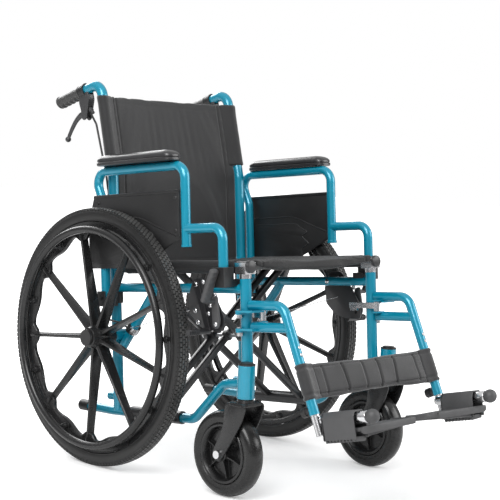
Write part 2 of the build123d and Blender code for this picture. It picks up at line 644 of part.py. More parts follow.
def brake_cable_set():
    """Lever clamp on the push handle, the cable behind the cane, and its clamp on the diagonal."""
    x, y, z = HAND_LEVER_PIVOT
    at = along(HANDLE_CORNER, DROOP, LEVER_CLAMP_AT)
    clamp = rod(along(at, DROOP, -9), along(at, DROOP, 9), 17)
    body = [(at[1] - 8, at[2] - 10), (at[1] + 8, at[2] - 10), (y + 8, z + 8),
            (y + 6, z - 6), (y - 8, z - 8), (y - 12, z + 8)]
    clamp += side_plate(body, x - 7, x + 7)
    clamp -= block((x - 3.4, x + 3.4), (y - 10, y + 30), (z - 20, z + 12))
    clamp += rod((x - 9, y, z), (x + 9, y, z), 3)
    clamp -= rod(along(at, DROOP, -20), along(at, DROOP, 20), POST_R + SLIP)
    behind = CANE_Y + 20
    run = [(x, y - 16, z + 4), (x, y - 36, z - 24), (x, behind + 6, BACK_BEND_Z), (x, behind, 345),
           (x, behind, 60), (x + 20, 28, 38), (x + 20, -20, 30), (x + 15, -48, 16)]
    cable = bent_bar(run, 2.5, 8)
    down = (0.0, CANE_Y - BRACE_TOP_Y, BRACE_FOOT_Z - UPPER_TUBE_Z)
    length = hypot(down[1], down[2])
    unit = tuple(d / length for d in down)
    spot = along((SIDE_X, BRACE_TOP_Y, UPPER_TUBE_Z), unit, 131)
    collar = rod(along(spot, unit, -9), along(spot, unit, 9), 16)
    collar -= rod(along(spot, unit, -15), along(spot, unit, 15), TUBE_R + SLIP)
    cable += collar
    wire = rod((x + 15, -50, 17), (BRAKE_PLATE_X - 1.5, -306, 74), 0.9)
    return group(clamp, cable + wire)


# ---------------------------------------------------------------- hanger and footrest
def hanger():
    """Swing-away hanger: two level tubes, the sloping tube and the hinge plates."""
    end = along(HANGER_CORNER, SLOPE, HANGER_END)
    frame = bent_bar([(SIDE_X, -437, HANGER_TOP_Z), HANGER_CORNER, end], TUBE_R, 32)
    low_join = along(HANGER_CORNER, SLOPE, (HANGER_TOP_Z - HANGER_LOW_Z) / -SLOPE[2])
    frame += rod((SIDE_X, -444, HANGER_LOW_Z), low_join, TUBE_R)
    for z in (HINGE_UPPER_Z + 4.3, HINGE_LOWER_Z + 4.3):
        outline = [(228, POST_Y), (245, POST_Y), (245, -470), (206, -470), (206, -441), (228, -441)]
        plate = flat_plate(outline, z, z + 5)
        frame += plate + rod((HINGE_X, POST_Y, z), (HINGE_X, POST_Y, z + 5), 9)
        frame -= rod((HINGE_X, POST_Y, z - 1), (HINGE_X, POST_Y, z + 6), 4 + RUN)
    for low in (HANGER_LOW_Z + 8, HANGER_TOP_Z - 11):
        frame += block((188, SIDE_X), (-462, -448), (low, low + 4))
    frame += rod((195, -455, HANGER_LOW_Z + 8), (195, -455, HANGER_TOP_Z - 7), 3)
    inner = along(HANGER_CORNER, SLOPE, 108)
    return frame - rod(inner, along(end, SLOPE, 5), FOOT_TUBE_R + RUN)


def release_latch():
    """Flat thumb lever that frees the hanger."""
    low = HANGER_LOW_Z + 13.0
    high = HANGER_TOP_Z - 12.0
    lever = rod((195, -455, low), (195, -455, high), 6.5)
    lever += block((190, 193), (-455, -374), (low + 6, high - 2))
    lever += block((184, 191), (-402, -382), (low + 1, low + 12))
    return lever - rod((195, -455, low - 5), (195, -455, high + 5), 3 + RUN)


def height_clamp():
    """Saddle and knob behind the tube that lock the footrest height."""
    at = along(HANGER_CORNER, SLOPE, HANGER_END - 12)
    rear = tuple(-d for d in SLOPE_FRONT)
    clamp = rod(along(at, rear, 4), along(at, rear, 18), 9)
    clamp += rod(along(at, rear, 17), along(at, rear, 29), 11)
    return clamp - rod(along(at, SLOPE, -20), along(at, SLOPE, 20), TUBE_R + SLIP)


def footrest_tube():
    """Chromed leg that slides in the hanger, with the footplate pivot and its knob."""
    low, high = FOOT_TUBE_SPAN
    leg = rod(along(HANGER_CORNER, SLOPE, low), along(HANGER_CORNER, SLOPE, high), FOOT_TUBE_R)
    leg += rod(FOOT_PIVOT, along(FOOT_PIVOT, TOE, 132), FOOT_AXIS_R)
    leg += ball(FOOT_PIVOT, FOOT_AXIS_R)
    knob = ball(along(FOOT_PIVOT, TOE, 144), 13.5)
    knob -= rod(along(FOOT_PIVOT, TOE, 100), along(FOOT_PIVOT, TOE, 132.1), FOOT_AXIS_R + 6)
    return group(leg, knob)


def foot_axes(shape):
    """From axes whose Y runs back along the pivot to frame axes."""
    return Pos(*FOOT_PIVOT) * Rot(-FOOT_TILT, 0, 0) * shape


def footplate_bush():
    near, far = PLATE_SPAN
    bush = rod((0, -near - 2, 0), (0, -far + 18, 0), BUSH_R)
    return foot_axes(bush - rod((0, 0, 0), (0, -far, 0), FOOT_AXIS_R + RUN))


def footplate():
    """Moulded plate with its raised hinge box at the outer edge."""
    near, far = PLATE_SPAN
    box_front = far - 14
    shell = [(16, -42), (18, 8), (12, 16), (-14, 16), (-20, 0), (-24, -42)]
    box = extrude(Plane.XZ.offset(near) * make_face(Polyline(*shell, close=True)), box_front - near)
    inner = PLATE_INNER_X - FOOT_PIVOT_X
    step = 20.0
    outline = [(10, -near), (inner + step, -near), (inner, -near - step), (inner, -far + step),
               (inner + step, -far), (2, -far), (10, -far + 8)]
    plate = flat_plate(outline, -28, -20)
    plate += block((inner + step, 2), (-far, -far + 5), (-36, -16))
    for k in range(4):
        y = -near - 12 - 22 * k
        rib = make_face(Polyline((-20, -27), (inner + 12, -27), (inner + 24, -31), (-20, -42), close=True))
        plate += extrude(Plane.XZ.offset(-y) * rib, 3)
    bore = rod((0, 5, 0), (0, -far - 10, 0), BUSH_R + RUN)
    front_bore = rod((0, -near, 0), (0, -far - 10, 0), BUSH_R + RUN)
    return foot_axes(box + plate - bore - front_bore)


def calf_strap():
    """Quilted strap between the hangers with a sleeve on each."""
    start, end = 130.0, 208.0
    top = along((0.0, HANGER_CORNER_Y, HANGER_TOP_Z), SLOPE, start)
    section = Plane(origin=top, x_dir=(1, 0, 0), z_dir=SLOPE)
    front = []
    rear = []
    for k in range(-48, 49):
        x = 203 / 48 * k
        swell = 3 + 4 * abs(sin(pi * k / 12))
        front.append((x, swell))
        rear.append((x, -swell))
    band = extrude(section * make_face(Polyline(*(front + rear[::-1]), close=True)), end - start)
    for side in (-1, 1):
        foot = (side * SIDE_X, top[1], top[2])
        head = along(foot, SLOPE, end - start)
        band += rod(foot, head, TUBE_R + 3)
        band -= rod(along(foot, SLOPE, -5), along(head, SLOPE, 5), TUBE_R + SLIP)
    return band


# ---------------------------------------------------------------- export
def main():
    os.makedirs("parts", exist_ok=True)
    save_pair("side_frame", side_frame())
    save_pair("frame_end_caps", frame_end_caps())
    save_pair("post_fittings", post_fittings())
    save_pair("wheel_axle", wheel_axle())
    save_pair("wheel", wheel())
    rear_tyre = tyre(WHEEL_X, TYRE_R, RIM_R, TYRE_WIDTH)
    save_pair("tyre", Pos(0, AXLE_Y, AXLE_Z) * rear_tyre)
    save_pair("handrim", handrim())
    fork, bolt, rim, rubber = caster_parts()
    save_pair("caster_fork", fork)
    save_pair("caster_axle", bolt)
    save_pair("caster_wheel", rim)
    save_pair("caster_tyre", rubber)
    save_pair("armrest_tube", place(armrest_tube()))
    save_pair("armrest_pad", place(armrest_pad()))
    save_pair("clothing_guard", place(clothing_guard()))
    save_pair("armrest_mounts", place(armrest_mounts()))
    save_pair("brake_bracket", place(brake_bracket()))
    save_pair("brake_lever", place(brake_lever()))
    save_pair("brake_shoe", place(brake_shoe()))
    save_pair("push_grip", place(push_grip()))
    save_pair("hand_lever", place(hand_lever()))
    save_pair("brake_cable_set", place(brake_cable_set()))
    save_pair("hanger", place(hanger()))
    save_pair("release_latch", place(release_latch()))
    save_pair("height_clamp", place(height_clamp()))
    save_pair("footrest_tube", place(footrest_tube()))
    save_pair("footplate_bush", place(footplate_bush()))
    save_pair("footplate", place(footplate()))
    save("cross_brace_right", place(brace(-1, INNER_BARS_Y, RUN)))
    save("cross_brace_left", place(brace(1, OUTER_BARS_Y, RUN)))
    save("brace_pivot_bolt", place(pivot_bolt()))
    save("seat_sling", place(seat_sling()))
    save("back_sling", place(back_sling()))
    save("calf_strap", place(calf_strap()))


main()
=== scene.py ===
"""Looks of the folding wheelchair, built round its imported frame. Metres, +Z up, the chair faces -Y."""
import json
import math

import bpy
import bmesh
from mathutils import Matrix, Vector, noise
from mathutils.bvhtree import BVHTree


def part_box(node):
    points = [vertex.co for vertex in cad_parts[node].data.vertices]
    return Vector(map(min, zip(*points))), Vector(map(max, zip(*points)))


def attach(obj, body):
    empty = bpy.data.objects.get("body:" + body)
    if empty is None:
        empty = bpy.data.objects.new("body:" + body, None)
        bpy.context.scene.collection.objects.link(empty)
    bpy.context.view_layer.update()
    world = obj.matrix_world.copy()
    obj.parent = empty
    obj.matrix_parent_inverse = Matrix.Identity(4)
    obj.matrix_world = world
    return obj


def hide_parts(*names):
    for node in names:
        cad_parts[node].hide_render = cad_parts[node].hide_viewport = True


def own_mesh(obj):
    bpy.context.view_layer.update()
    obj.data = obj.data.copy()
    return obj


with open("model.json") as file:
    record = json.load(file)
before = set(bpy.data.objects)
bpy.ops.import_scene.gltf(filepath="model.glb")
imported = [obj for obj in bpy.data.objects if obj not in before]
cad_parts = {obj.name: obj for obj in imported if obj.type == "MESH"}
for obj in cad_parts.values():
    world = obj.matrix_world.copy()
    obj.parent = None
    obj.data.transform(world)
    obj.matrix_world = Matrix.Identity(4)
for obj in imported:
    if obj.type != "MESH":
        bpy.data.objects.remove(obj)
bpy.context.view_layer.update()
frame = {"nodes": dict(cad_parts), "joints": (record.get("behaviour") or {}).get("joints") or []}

MM = 0.001
JOINTS = {joint["name"]: joint for joint in frame["joints"]}
NODES = frame["nodes"]
SIDES = {"left": 1, "right": -1}
AXLE = Vector(JOINTS["wheel_spin_left"]["pos_m"])
# The drawing's axes stand upright with the axle at their origin; TILTED leans them back with the real frame.
RAKE = math.atan2(JOINTS["fold"]["axis"][2], -JOINTS["fold"]["axis"][1])
TILTED = Matrix.Translation((0, AXLE.y, AXLE.z)) @ Matrix.Rotation(-RAKE, 4, "X")


def mm(pairs):
    """Pairs of millimetres in metres."""
    return [(a * MM, b * MM) for a, b in pairs]


# ---------------------------------------------------------------- node materials
class Nodes:
    """A node material being wired: a Principled surface fed from object coordinates."""

    def __init__(self, name):
        self.material = bpy.data.materials.new(name)
        self.material.use_nodes = True
        self.tree = self.material.node_tree
        self.shader = self.tree.nodes["Principled BSDF"]
        self.coords = self.add("ShaderNodeTexCoord").outputs["Object"]

    def add(self, kind, **inputs):
        node = self.tree.nodes.new(kind)
        for key, value in inputs.items():
            self.put(node.inputs[key.replace("_", " ")], value)
        return node

    def put(self, socket, value):
        if isinstance(value, bpy.types.NodeSocket):
            self.tree.links.new(value, socket)
        else:
            socket.default_value = value

    def set(self, **inputs):
        for key, value in inputs.items():
            self.put(self.shader.inputs[key.replace("_", " ")], value)

    def noise(self, scale, detail=4.0, rough=0.6, stretch=(1, 1, 1)):
        mapping = self.add("ShaderNodeMapping", Vector=self.coords, Scale=stretch)
        node = self.add("ShaderNodeTexNoise", Vector=mapping.outputs["Vector"],
                        Scale=scale, Detail=detail, Roughness=rough)
        return node.outputs["Fac"]

    def cells(self, scale, feature="F1"):
        node = self.add("ShaderNodeTexVoronoi", Vector=self.coords, Scale=scale)
        node.feature = feature
        return node.outputs["Distance"]

    def wave(self, scale, direction):
        node = self.add("ShaderNodeTexWave", Vector=self.coords, Scale=scale, Distortion=0.15, Detail=1.0)
        node.bands_direction = direction
        return node.outputs["Fac"]

    def math(self, operation, a, b=0.0):
        node = self.add("ShaderNodeMath")
        node.operation = operation
        self.put(node.inputs[0], a)
        self.put(node.inputs[1], b)
        return node.outputs[0]

    def ramp(self, factor, low, high, start=0.3, end=0.7):
        """Grey or colour ramp between two values."""
        node = self.add("ShaderNodeValToRGB", Fac=factor)
        first, last = node.color_ramp.elements
        first.position, last.position = start, end
        first.color = low if isinstance(low, tuple) else (low, low, low, 1)
        last.color = high if isinstance(high, tuple) else (high, high, high, 1)
        return node.outputs["Color"]

    def edge_round(self, radius):
        node = self.add("ShaderNodeBevel", Radius=radius)
        node.samples = 4
        return node.outputs["Normal"]

    def worn_edges(self, radius):
        """1 on convex edges: where the rounded normal leaves the true one."""
        rounded = self.edge_round(radius)
        geometry = self.add("ShaderNodeNewGeometry")
        dot = self.add("ShaderNodeVectorMath")
        dot.operation = "DOT_PRODUCT"
        self.put(dot.inputs[0], rounded)
        self.put(dot.inputs[1], geometry.outputs["True Normal"])
        return self.math("SUBTRACT", 1.0, dot.outputs["Value"])

    def bump(self, height, distance, strength=1.0, normal=None):
        node = self.add("ShaderNodeBump", Height=height, Distance=distance, Strength=strength)
        if normal is not None:
            self.put(node.inputs["Normal"], normal)
        return node.outputs["Normal"]


def tone(r, g, b):
    return (r, g, b, 1)


def painted_metal():
    """Gloss teal enamel with faint orange peel and a little colour drift."""
    n = Nodes("frame_paint")
    drift = n.noise(3.0, 2.0)
    peel = n.noise(420.0, 2.0, 0.4)
    n.set(Base_Color=n.ramp(drift, tone(0.001, 0.230, 0.345), tone(0.002, 0.255, 0.375)),
          Metallic=0.2, Roughness=n.ramp(n.noise(20.0), 0.20, 0.27),
          Coat_Weight=0.5, Coat_Roughness=0.06,
          Normal=n.bump(peel, 0.00006, 0.5, n.edge_round(0.0012)))
    return n.material


def plated_metal(name="bright_metal", low=0.62, high=0.78, rough=(0.12, 0.26)):
    """Bright plating with fine scratches."""
    n = Nodes(name)
    scratch = n.noise(260.0, 6.0, 0.7, (1, 0.12, 1))
    n.set(Base_Color=n.ramp(n.noise(18.0), tone(low, low, low + 0.01), tone(high, high, high + 0.01)),
          Metallic=1.0, Roughness=n.ramp(scratch, *rough),
          Normal=n.bump(scratch, 0.00004, 0.4, n.edge_round(0.0006)))
    return n.material


def black_metal():
    """Satin black powder coat, a little thin on its edges."""
    n = Nodes("black_metal")
    wear = n.math("MULTIPLY", n.worn_edges(0.0008), 1.2)
    speck = n.noise(900.0, 2.0)
    mix = n.add("ShaderNodeMix", Factor=n.math("MINIMUM", wear, 0.5))
    mix.data_type = "RGBA"
    n.put(mix.inputs["A"], n.ramp(n.noise(9.0), tone(0.012, 0.012, 0.013), tone(0.022, 0.022, 0.024)))
    n.put(mix.inputs["B"], tone(0.09, 0.09, 0.095))
    n.set(Base_Color=mix.outputs["Result"], Metallic=0.1,
          Roughness=n.ramp(n.noise(50.0), 0.28, 0.42), Coat_Weight=0.25, Coat_Roughness=0.2,
          Normal=n.bump(speck, 0.00005, 0.5, n.edge_round(0.0010)))
    return n.material


def moulded_plastic(name, low, high, rough, grain=650.0, depth=0.00008, edge=0.0012):
    """Moulded plastic with a fine spark grain and slightly polished edges."""
    n = Nodes(name)
    wear = n.math("MINIMUM", n.math("MULTIPLY", n.worn_edges(edge), 1.5), 0.35)
    mix = n.add("ShaderNodeMix", Factor=wear)
    mix.data_type = "RGBA"
    n.put(mix.inputs["A"], n.ramp(n.noise(12.0), tone(low, low, low * 1.03), tone(high, high, high * 1.03)))
    n.put(mix.inputs["B"], tone(high * 2.2, high * 2.2, high * 2.25))
    n.set(Base_Color=mix.outputs["Result"], Roughness=n.ramp(n.noise(30.0), *rough),
          Normal=n.bump(n.cells(grain), depth, 0.6, n.edge_round(edge)))
    return n.material


def rubber(name, low, high, rough=(0.62, 0.8)):
    """Matt rubber with a dusty bloom."""
    n = Nodes(name)
    bloom = n.noise(14.0, 6.0, 0.65)
    n.set(Base_Color=n.ramp(bloom, tone(low, low, low), tone(high, high, high * 0.98)),
          Roughness=n.ramp(n.noise(60.0), *rough),
          Normal=n.bump(n.noise(700.0, 3.0), 0.00007, 0.6))
    return n.material


def woven_fabric(name, low, high, thread=0.0009, depth=0.00018, sheen=0.35, axes=("X", "Z")):
    """Plain-woven nylon: two crossed thread waves, soft sheen and slubs."""
    n = Nodes(name)
    scale = 1.0 / thread / (2 * math.pi) * 2
    warp = n.wave(scale, axes[0])
    weft = n.wave(scale, axes[1])
    weave = n.math("MULTIPLY", warp, weft)
    slub = n.noise(90.0, 4.0, 0.7, (1, 1, 0.2))
    fold = n.noise(7.0, 3.0)
    tint = n.math("ADD", n.math("MULTIPLY", slub, 0.5), n.math("MULTIPLY", fold, 0.5))
    n.set(Base_Color=n.ramp(tint, tone(low, low, low * 1.05), tone(high, high, high * 1.04)),
          Roughness=n.ramp(weave, 0.60, 0.82), Sheen_Weight=sheen, Sheen_Roughness=0.45,
          Specular_IOR_Level=0.35,
          Normal=n.bump(n.math("ADD", weave, n.math("MULTIPLY", slub, 0.6)), depth, 0.8))
    return n.material


def soft_skin():
    """Moulded foam skin with a fine leather grain."""
    n = Nodes("pad_skin")
    grain = n.cells(330.0, "SMOOTH_F1")
    n.set(Base_Color=n.ramp(n.noise(16.0), tone(0.016, 0.016, 0.017), tone(0.026, 0.026, 0.028)),
          Roughness=n.ramp(n.noise(25.0), 0.27, 0.38), Coat_Weight=0.3, Coat_Roughness=0.22,
          Normal=n.bump(grain, 0.00022, 0.7))
    return n.material


PAINT = painted_metal()
PLATED = plated_metal()
DULL_STEEL = plated_metal("zinc_metal", 0.42, 0.55, (0.28, 0.42))
BLACK_METAL = black_metal()
WHEEL_PLASTIC = moulded_plastic("wheel_plastic", 0.008, 0.013, (0.20, 0.32))
BLACK_PLASTIC = moulded_plastic("black_plastic", 0.010, 0.016, (0.34, 0.48))
FOOT_PLASTIC = moulded_plastic("foot_plastic", 0.050, 0.066, (0.46, 0.60), 480.0, 0.00012)
GUARD_PLASTIC = moulded_plastic("guard_plastic", 0.010, 0.015, (0.34, 0.46), 820.0, 0.0001)
TYRE_RUBBER = rubber("tyre_rubber", 0.006, 0.012, (0.32, 0.44))
# Lighter rubber for the tread block tops: a painted highlight where the blocks catch the light, with lower
# roughness.
PAINTED_TREAD_HIGHLIGHT = rubber("tread_painted_highlight", 0.035, 0.075, (0.26, 0.40))
CASTER_RUBBER = rubber("caster_rubber", 0.004, 0.008, (0.22, 0.32))
GRIP_RUBBER = rubber("grip_rubber", 0.034, 0.048, (0.40, 0.52))
LEVER_FINISH = moulded_plastic("lever_finish", 0.034, 0.046, (0.32, 0.44), 520.0, 0.00006)
NYLON = woven_fabric("black_nylon", 0.013, 0.019)
SEAT_NYLON = woven_fabric("seat_nylon", 0.006, 0.011, sheen=0.15, axes=("X", "Y"))
QUILT = woven_fabric("quilt_fabric", 0.020, 0.031, 0.0011, 0.0002, 0.4)
PAD_SKIN = soft_skin()
THREAD = rubber("sewing_thread", 0.05, 0.08, (0.5, 0.6))
FORK_PLASTIC = moulded_plastic("fork_finish", 0.010, 0.016, (0.22, 0.32), 520.0, 0.00006)

CAD_LOOKS = {
    "side_frame": PAINT, "armrest_tube": PAINT, "hanger": PAINT, "frame_end_caps": BLACK_PLASTIC,
    "post_fittings": PLATED, "wheel_axle": BLACK_PLASTIC, "wheel": WHEEL_PLASTIC, "tyre": TYRE_RUBBER,
    "handrim": WHEEL_PLASTIC, "caster_fork": FOOT_PLASTIC, "caster_axle": PLATED,
    "caster_wheel": WHEEL_PLASTIC, "caster_tyre": TYRE_RUBBER, "armrest_pad": PAD_SKIN,
    "clothing_guard": GUARD_PLASTIC,
    "armrest_mounts": BLACK_PLASTIC, "brake_bracket": BLACK_METAL, "brake_lever": FOOT_PLASTIC,
    "brake_shoe": BLACK_METAL, "push_grip": GRIP_RUBBER, "hand_lever": BLACK_METAL,
    "brake_cable_set": BLACK_PLASTIC, "release_latch": PLATED, "height_clamp": BLACK_PLASTIC,
    "footrest_tube": PLATED, "footplate_bush": BLACK_PLASTIC, "footplate": FOOT_PLASTIC,
    "cross_brace": BLACK_METAL, "brace_pivot_bolt": DULL_STEEL, "seat_sling": SEAT_NYLON,
    "back_sling": NYLON, "calf_strap": QUILT,
}


def dress_cad_nodes():
    for name, node in NODES.items():
        base = name.removesuffix("_left").removesuffix("_right")
        node.data.materials.clear()
        node.data.materials.append(CAD_LOOKS[base])
        for polygon in node.data.polygons:
            polygon.material_index = 0


def paint_faces(name, material, chosen):
    """Gives a second material to the faces of a CAD node whose centre, in frame axes, is chosen."""
    mesh = NODES[name].data
    mesh.materials.append(material)
    back = TILTED.inverted() @ NODES[name].matrix_world
    for polygon in mesh.polygons:
        if chosen(back @ polygon.center):
            polygon.material_index = 1


dress_cad_nodes()
for name_side in SIDES:
    paint_faces(f"footrest_tube_{name_side}", FOOT_PLASTIC, lambda p: p.y < -750 * MM)
    paint_faces(f"brake_cable_set_{name_side}", PLATED, lambda p: p.y < -52 * MM)


# ---------------------------------------------------------------- mesh building
class Shell:
    """Points and faces of one piece, gathered from closed lofts and prisms."""

    def __init__(self):
        self.bm = bmesh.new()

    def loft(self, rings, loop=False, caps=True):
        """Skin between rings of equal length; loop joins the last ring to the first."""
        made = [[self.bm.verts.new(p) for p in ring] for ring in rings]
        count = len(made[0])
        pairs = list(zip(made, made[1:]))
        if loop:
            pairs.append((made[-1], made[0]))
        for one, two in pairs:
            for k in range(count):
                j = (k + 1) % count
                self.bm.faces.new((one[k], one[j], two[j], two[k]))
        if caps and not loop:
            self.bm.faces.new(made[0][::-1])
            self.bm.faces.new(made[-1])

    def prism(self, outline, lift, bevel=0.0, segments=2):
        """Flat outline of 3-D points pushed along lift, with its edges rounded."""
        part = bmesh.new()
        low = [part.verts.new(p) for p in outline]
        high = [part.verts.new(Vector(p) + Vector(lift)) for p in outline]
        count = len(low)
        part.faces.new(low[::-1])
        part.faces.new(high)
        for k in range(count):
            j = (k + 1) % count
            part.faces.new((low[k], low[j], high[j], high[k]))
        bmesh.ops.recalc_face_normals(part, faces=part.faces)
        if bevel:
            sharp = [e for e in part.edges if e.calc_face_angle(0) > 0.5]
            bmesh.ops.bevel(part, geom=sharp, offset=bevel, segments=segments, profile=0.5,
                            affect="EDGES", clamp_overlap=True)
        self.take(part)

    def take(self, part):
        mesh = bpy.data.meshes.new("part")
        part.to_mesh(mesh)
        part.free()
        self.bm.from_mesh(mesh)
        bpy.data.meshes.remove(mesh)

    def place(self, name, material, body, replaces=(), side=1, matrix=None, sharp=35.0, material_slot=None):
        """Makes the object; side -1 mirrors the left-hand drawing to the right."""
        if matrix is not None:
            bmesh.ops.transform(self.bm, matrix=matrix, verts=self.bm.verts)
        if side < 0:
            bmesh.ops.scale(self.bm, vec=(-1, 1, 1), verts=self.bm.verts)
        bmesh.ops.recalc_face_normals(self.bm, faces=self.bm.faces)
        mesh = bpy.data.meshes.new(name)
        self.bm.to_mesh(mesh)
        self.bm.free()
        return finish_piece(name, mesh, material, body, replaces, sharp)


def fit(shell, side, name, material, body, cad, slot, matrix=TILTED, sharp=35.0):
    """Places one side's piece; {} stands for the side in its name, its body and the CAD node it replaces."""
    replaced = [cad.format(side)] if cad else ()
    return shell.place(name.format(side), material, body.format(side), replaced, SIDES[side], matrix, sharp,
                       slot)


def finish_piece(name, mesh, material, body, replaces=(), sharp=35.0):
    mesh.materials.clear()
    mesh.materials.append(material)
    for polygon in mesh.polygons:
        polygon.use_smooth = True
    mesh.set_sharp_from_angle(angle=math.radians(sharp))
    piece = bpy.data.objects.new(name, mesh)
    bpy.context.scene.collection.objects.link(piece)
    if replaces:
        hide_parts(*replaces)
    if body:
        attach(piece, body)
    return piece


def circle(centre, u, v, radius, steps):
    turn = 2 * math.pi / steps
    return [centre + u * (radius * math.cos(turn * k)) + v * (radius * math.sin(turn * k))
            for k in range(steps)]


def cross_axes(direction):
    """Two unit vectors square to a direction."""
    d = Vector(direction).normalized()
    u = d.cross(Vector((1, 0, 0)))
    if u.length < 0.1:
        u = d.cross(Vector((0, 1, 0)))
    u.normalize()
    return u, d.cross(u)


def lathe_rings(origin, direction, profile, steps):
    """Rings of a turned bar from (distance, radius) pairs along a direction."""
    d = Vector(direction).normalized()
    u, v = cross_axes(d)
    return [circle(Vector(origin) + d * t, u, v, max(r, 1e-5), steps) for t, r in profile]


def spun(profile, angle):
    """The (x, radius) points of a profile at one angle round the X axis."""
    return [Vector((x, r * math.cos(angle), r * math.sin(angle))) for x, r in profile]


def wheel_rings(profile_at, steps):
    """Rings round the X axis: profile_at(angle) gives (x, radius) points."""
    angles = [2 * math.pi * k / steps for k in range(steps)]
    return [spun(profile_at(angle), angle) for angle in angles]


def smooth_step(t):
    t = min(1.0, max(0.0, t))
    return t * t * (3 - 2 * t)


def rounded_outline(points, radius, steps=5):
    """2-D outline with every corner turned into an arc."""
    outline = []
    count = len(points)
    for k in range(count):
        corner = Vector(points[k])
        before = (Vector(points[k - 1]) - corner)
        after = (Vector(points[(k + 1) % count]) - corner)
        reach = min(radius, before.length * 0.45, after.length * 0.45)
        a = corner + before.normalized() * reach
        b = corner + after.normalized() * reach
        for i in range(steps + 1):
            t = i / steps
            outline.append(a * (1 - t) ** 2 + corner * (2 * t * (1 - t)) + b * t ** 2)
    return outline


# ---------------------------------------------------------------- rear wheels
SPOKES = 9
wheel_low, wheel_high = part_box("wheel_left")
tyre_low, tyre_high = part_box("tyre_left")
rim_low, rim_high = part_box("handrim_left")
RIM_R = (wheel_high.z - wheel_low.z) / 2
TYRE_R = (tyre_high.z - tyre_low.z) / 2
TYRE_HALF = (tyre_high.x - tyre_low.x) / 2
WHEEL_X = (tyre_high.x + tyre_low.x) / 2
HANDRIM_TUBE = 9 * MM
HANDRIM_R = (rim_high.z - rim_low.z) / 2 - HANDRIM_TUBE
HANDRIM_X = rim_high.x - HANDRIM_TUBE
SPOKES_TURNED = math.radians(-5.5)
ON_AXLE = Matrix.Translation((0, AXLE.y, AXLE.z)) @ Matrix.Rotation(SPOKES_TURNED, 4, "X")


def rim_inner_radius(angle):
    """Scalloped inner edge: a hump at each handrim stud, a hollow each side of it, a fillet at each spoke."""
    pitch = 2 * math.pi / SPOKES
    from_spoke = abs((angle + pitch / 2) % pitch - pitch / 2) / (pitch / 2)
    hump = smooth_step((from_spoke - 0.35) / 0.62)
    fillet = 1 - smooth_step((from_spoke - 0.10) / 0.24)
    return RIM_R - 25 * MM - 11 * MM * hump - 15 * MM * fillet


def rim_profile(angle):
    inner = rim_inner_radius(angle)
    half = [(15.4, RIM_R), (14.2, RIM_R - 4 * MM), (14.2, RIM_R - 12 * MM), (12.4, RIM_R - 14.5 * MM),
            (6.4, RIM_R - 16 * MM), (5.2, RIM_R - 19 * MM), (5.2, inner + 2.0 * MM), (3.6, inner)]
    outer = [(WHEEL_X + x * MM, r) for x, r in half]
    other = [(WHEEL_X - x * MM, r) for x, r in reversed(half)]
    return outer + other


def spoke_ring(radius, depth, front, back):
    """Wedge section, narrow on the outboard ridge; sizes in millimetres."""
    half = [(depth, front * 0.55), (depth - 1.2, front), (depth * 0.1, (front + back) * 0.5),
            (-depth + 3, back), (-depth + 0.8, back - 1.0), (-depth, back - 2.6)]
    section = half + [(x, -w) for x, w in reversed(half)]
    return [Vector((WHEEL_X + x * MM, radius, w * MM)) for x, w in section]


def build_wheel(side):
    shell = Shell()
    shell.loft(wheel_rings(rim_profile, 360), loop=True)
    hub = [(wheel_low.x, 7 * MM), (wheel_low.x, 19 * MM), (wheel_low.x + 2 * MM, 21 * MM),
           (wheel_low.x + 14 * MM, 23 * MM), (WHEEL_X - 16 * MM, 27 * MM), (WHEEL_X + 16 * MM, 27 * MM),
           (WHEEL_X + 20 * MM, 25 * MM), (wheel_high.x - 4 * MM, 24 * MM), (wheel_high.x - 1 * MM, 23 * MM),
           (wheel_high.x, 21 * MM), (wheel_high.x, 7 * MM)]
    shell.loft(wheel_rings(lambda angle: hub, 64), loop=True)
    stations = [(16, 15.5, 4.6, 9.0), (32, 15.2, 4.4, 8.4), (60, 14.4, 3.9, 7.4), (110, 12.8, 3.4, 6.6),
                (170, 11.0, 3.1, 6.0), (215, 9.8, 3.0, 5.8), (232, 9.4, 3.4, 6.4),
                (246, 9.2, 4.6, 8.2), (256, 9.0, 6.0, 10.5)]
    for k in range(SPOKES):
        turn = Matrix.Rotation(2 * math.pi * k / SPOKES, 3, "X")
        rings = [[turn @ p for p in spoke_ring(r * MM, *rest)] for r, *rest in stations]
        shell.loft(rings)
        boss_turn = Matrix.Rotation(2 * math.pi * (k + 0.5) / SPOKES, 3, "X")
        centre = boss_turn @ Vector((WHEEL_X - 9 * MM, HANDRIM_R - 3 * MM, 0))
        boss = mm([(0, 8), (1, 9.5), (14, 9.5), (17, 8.6), (22, 7.6), (23, 6.8)])
        shell.loft(lathe_rings(centre, (1, 0, 0), boss, 20))
    fit(shell, side, "moulded_wheel_{}", WHEEL_PLASTIC, "rear_wheel_{}", "wheel_{}", "wheel_plastic", ON_AXLE)


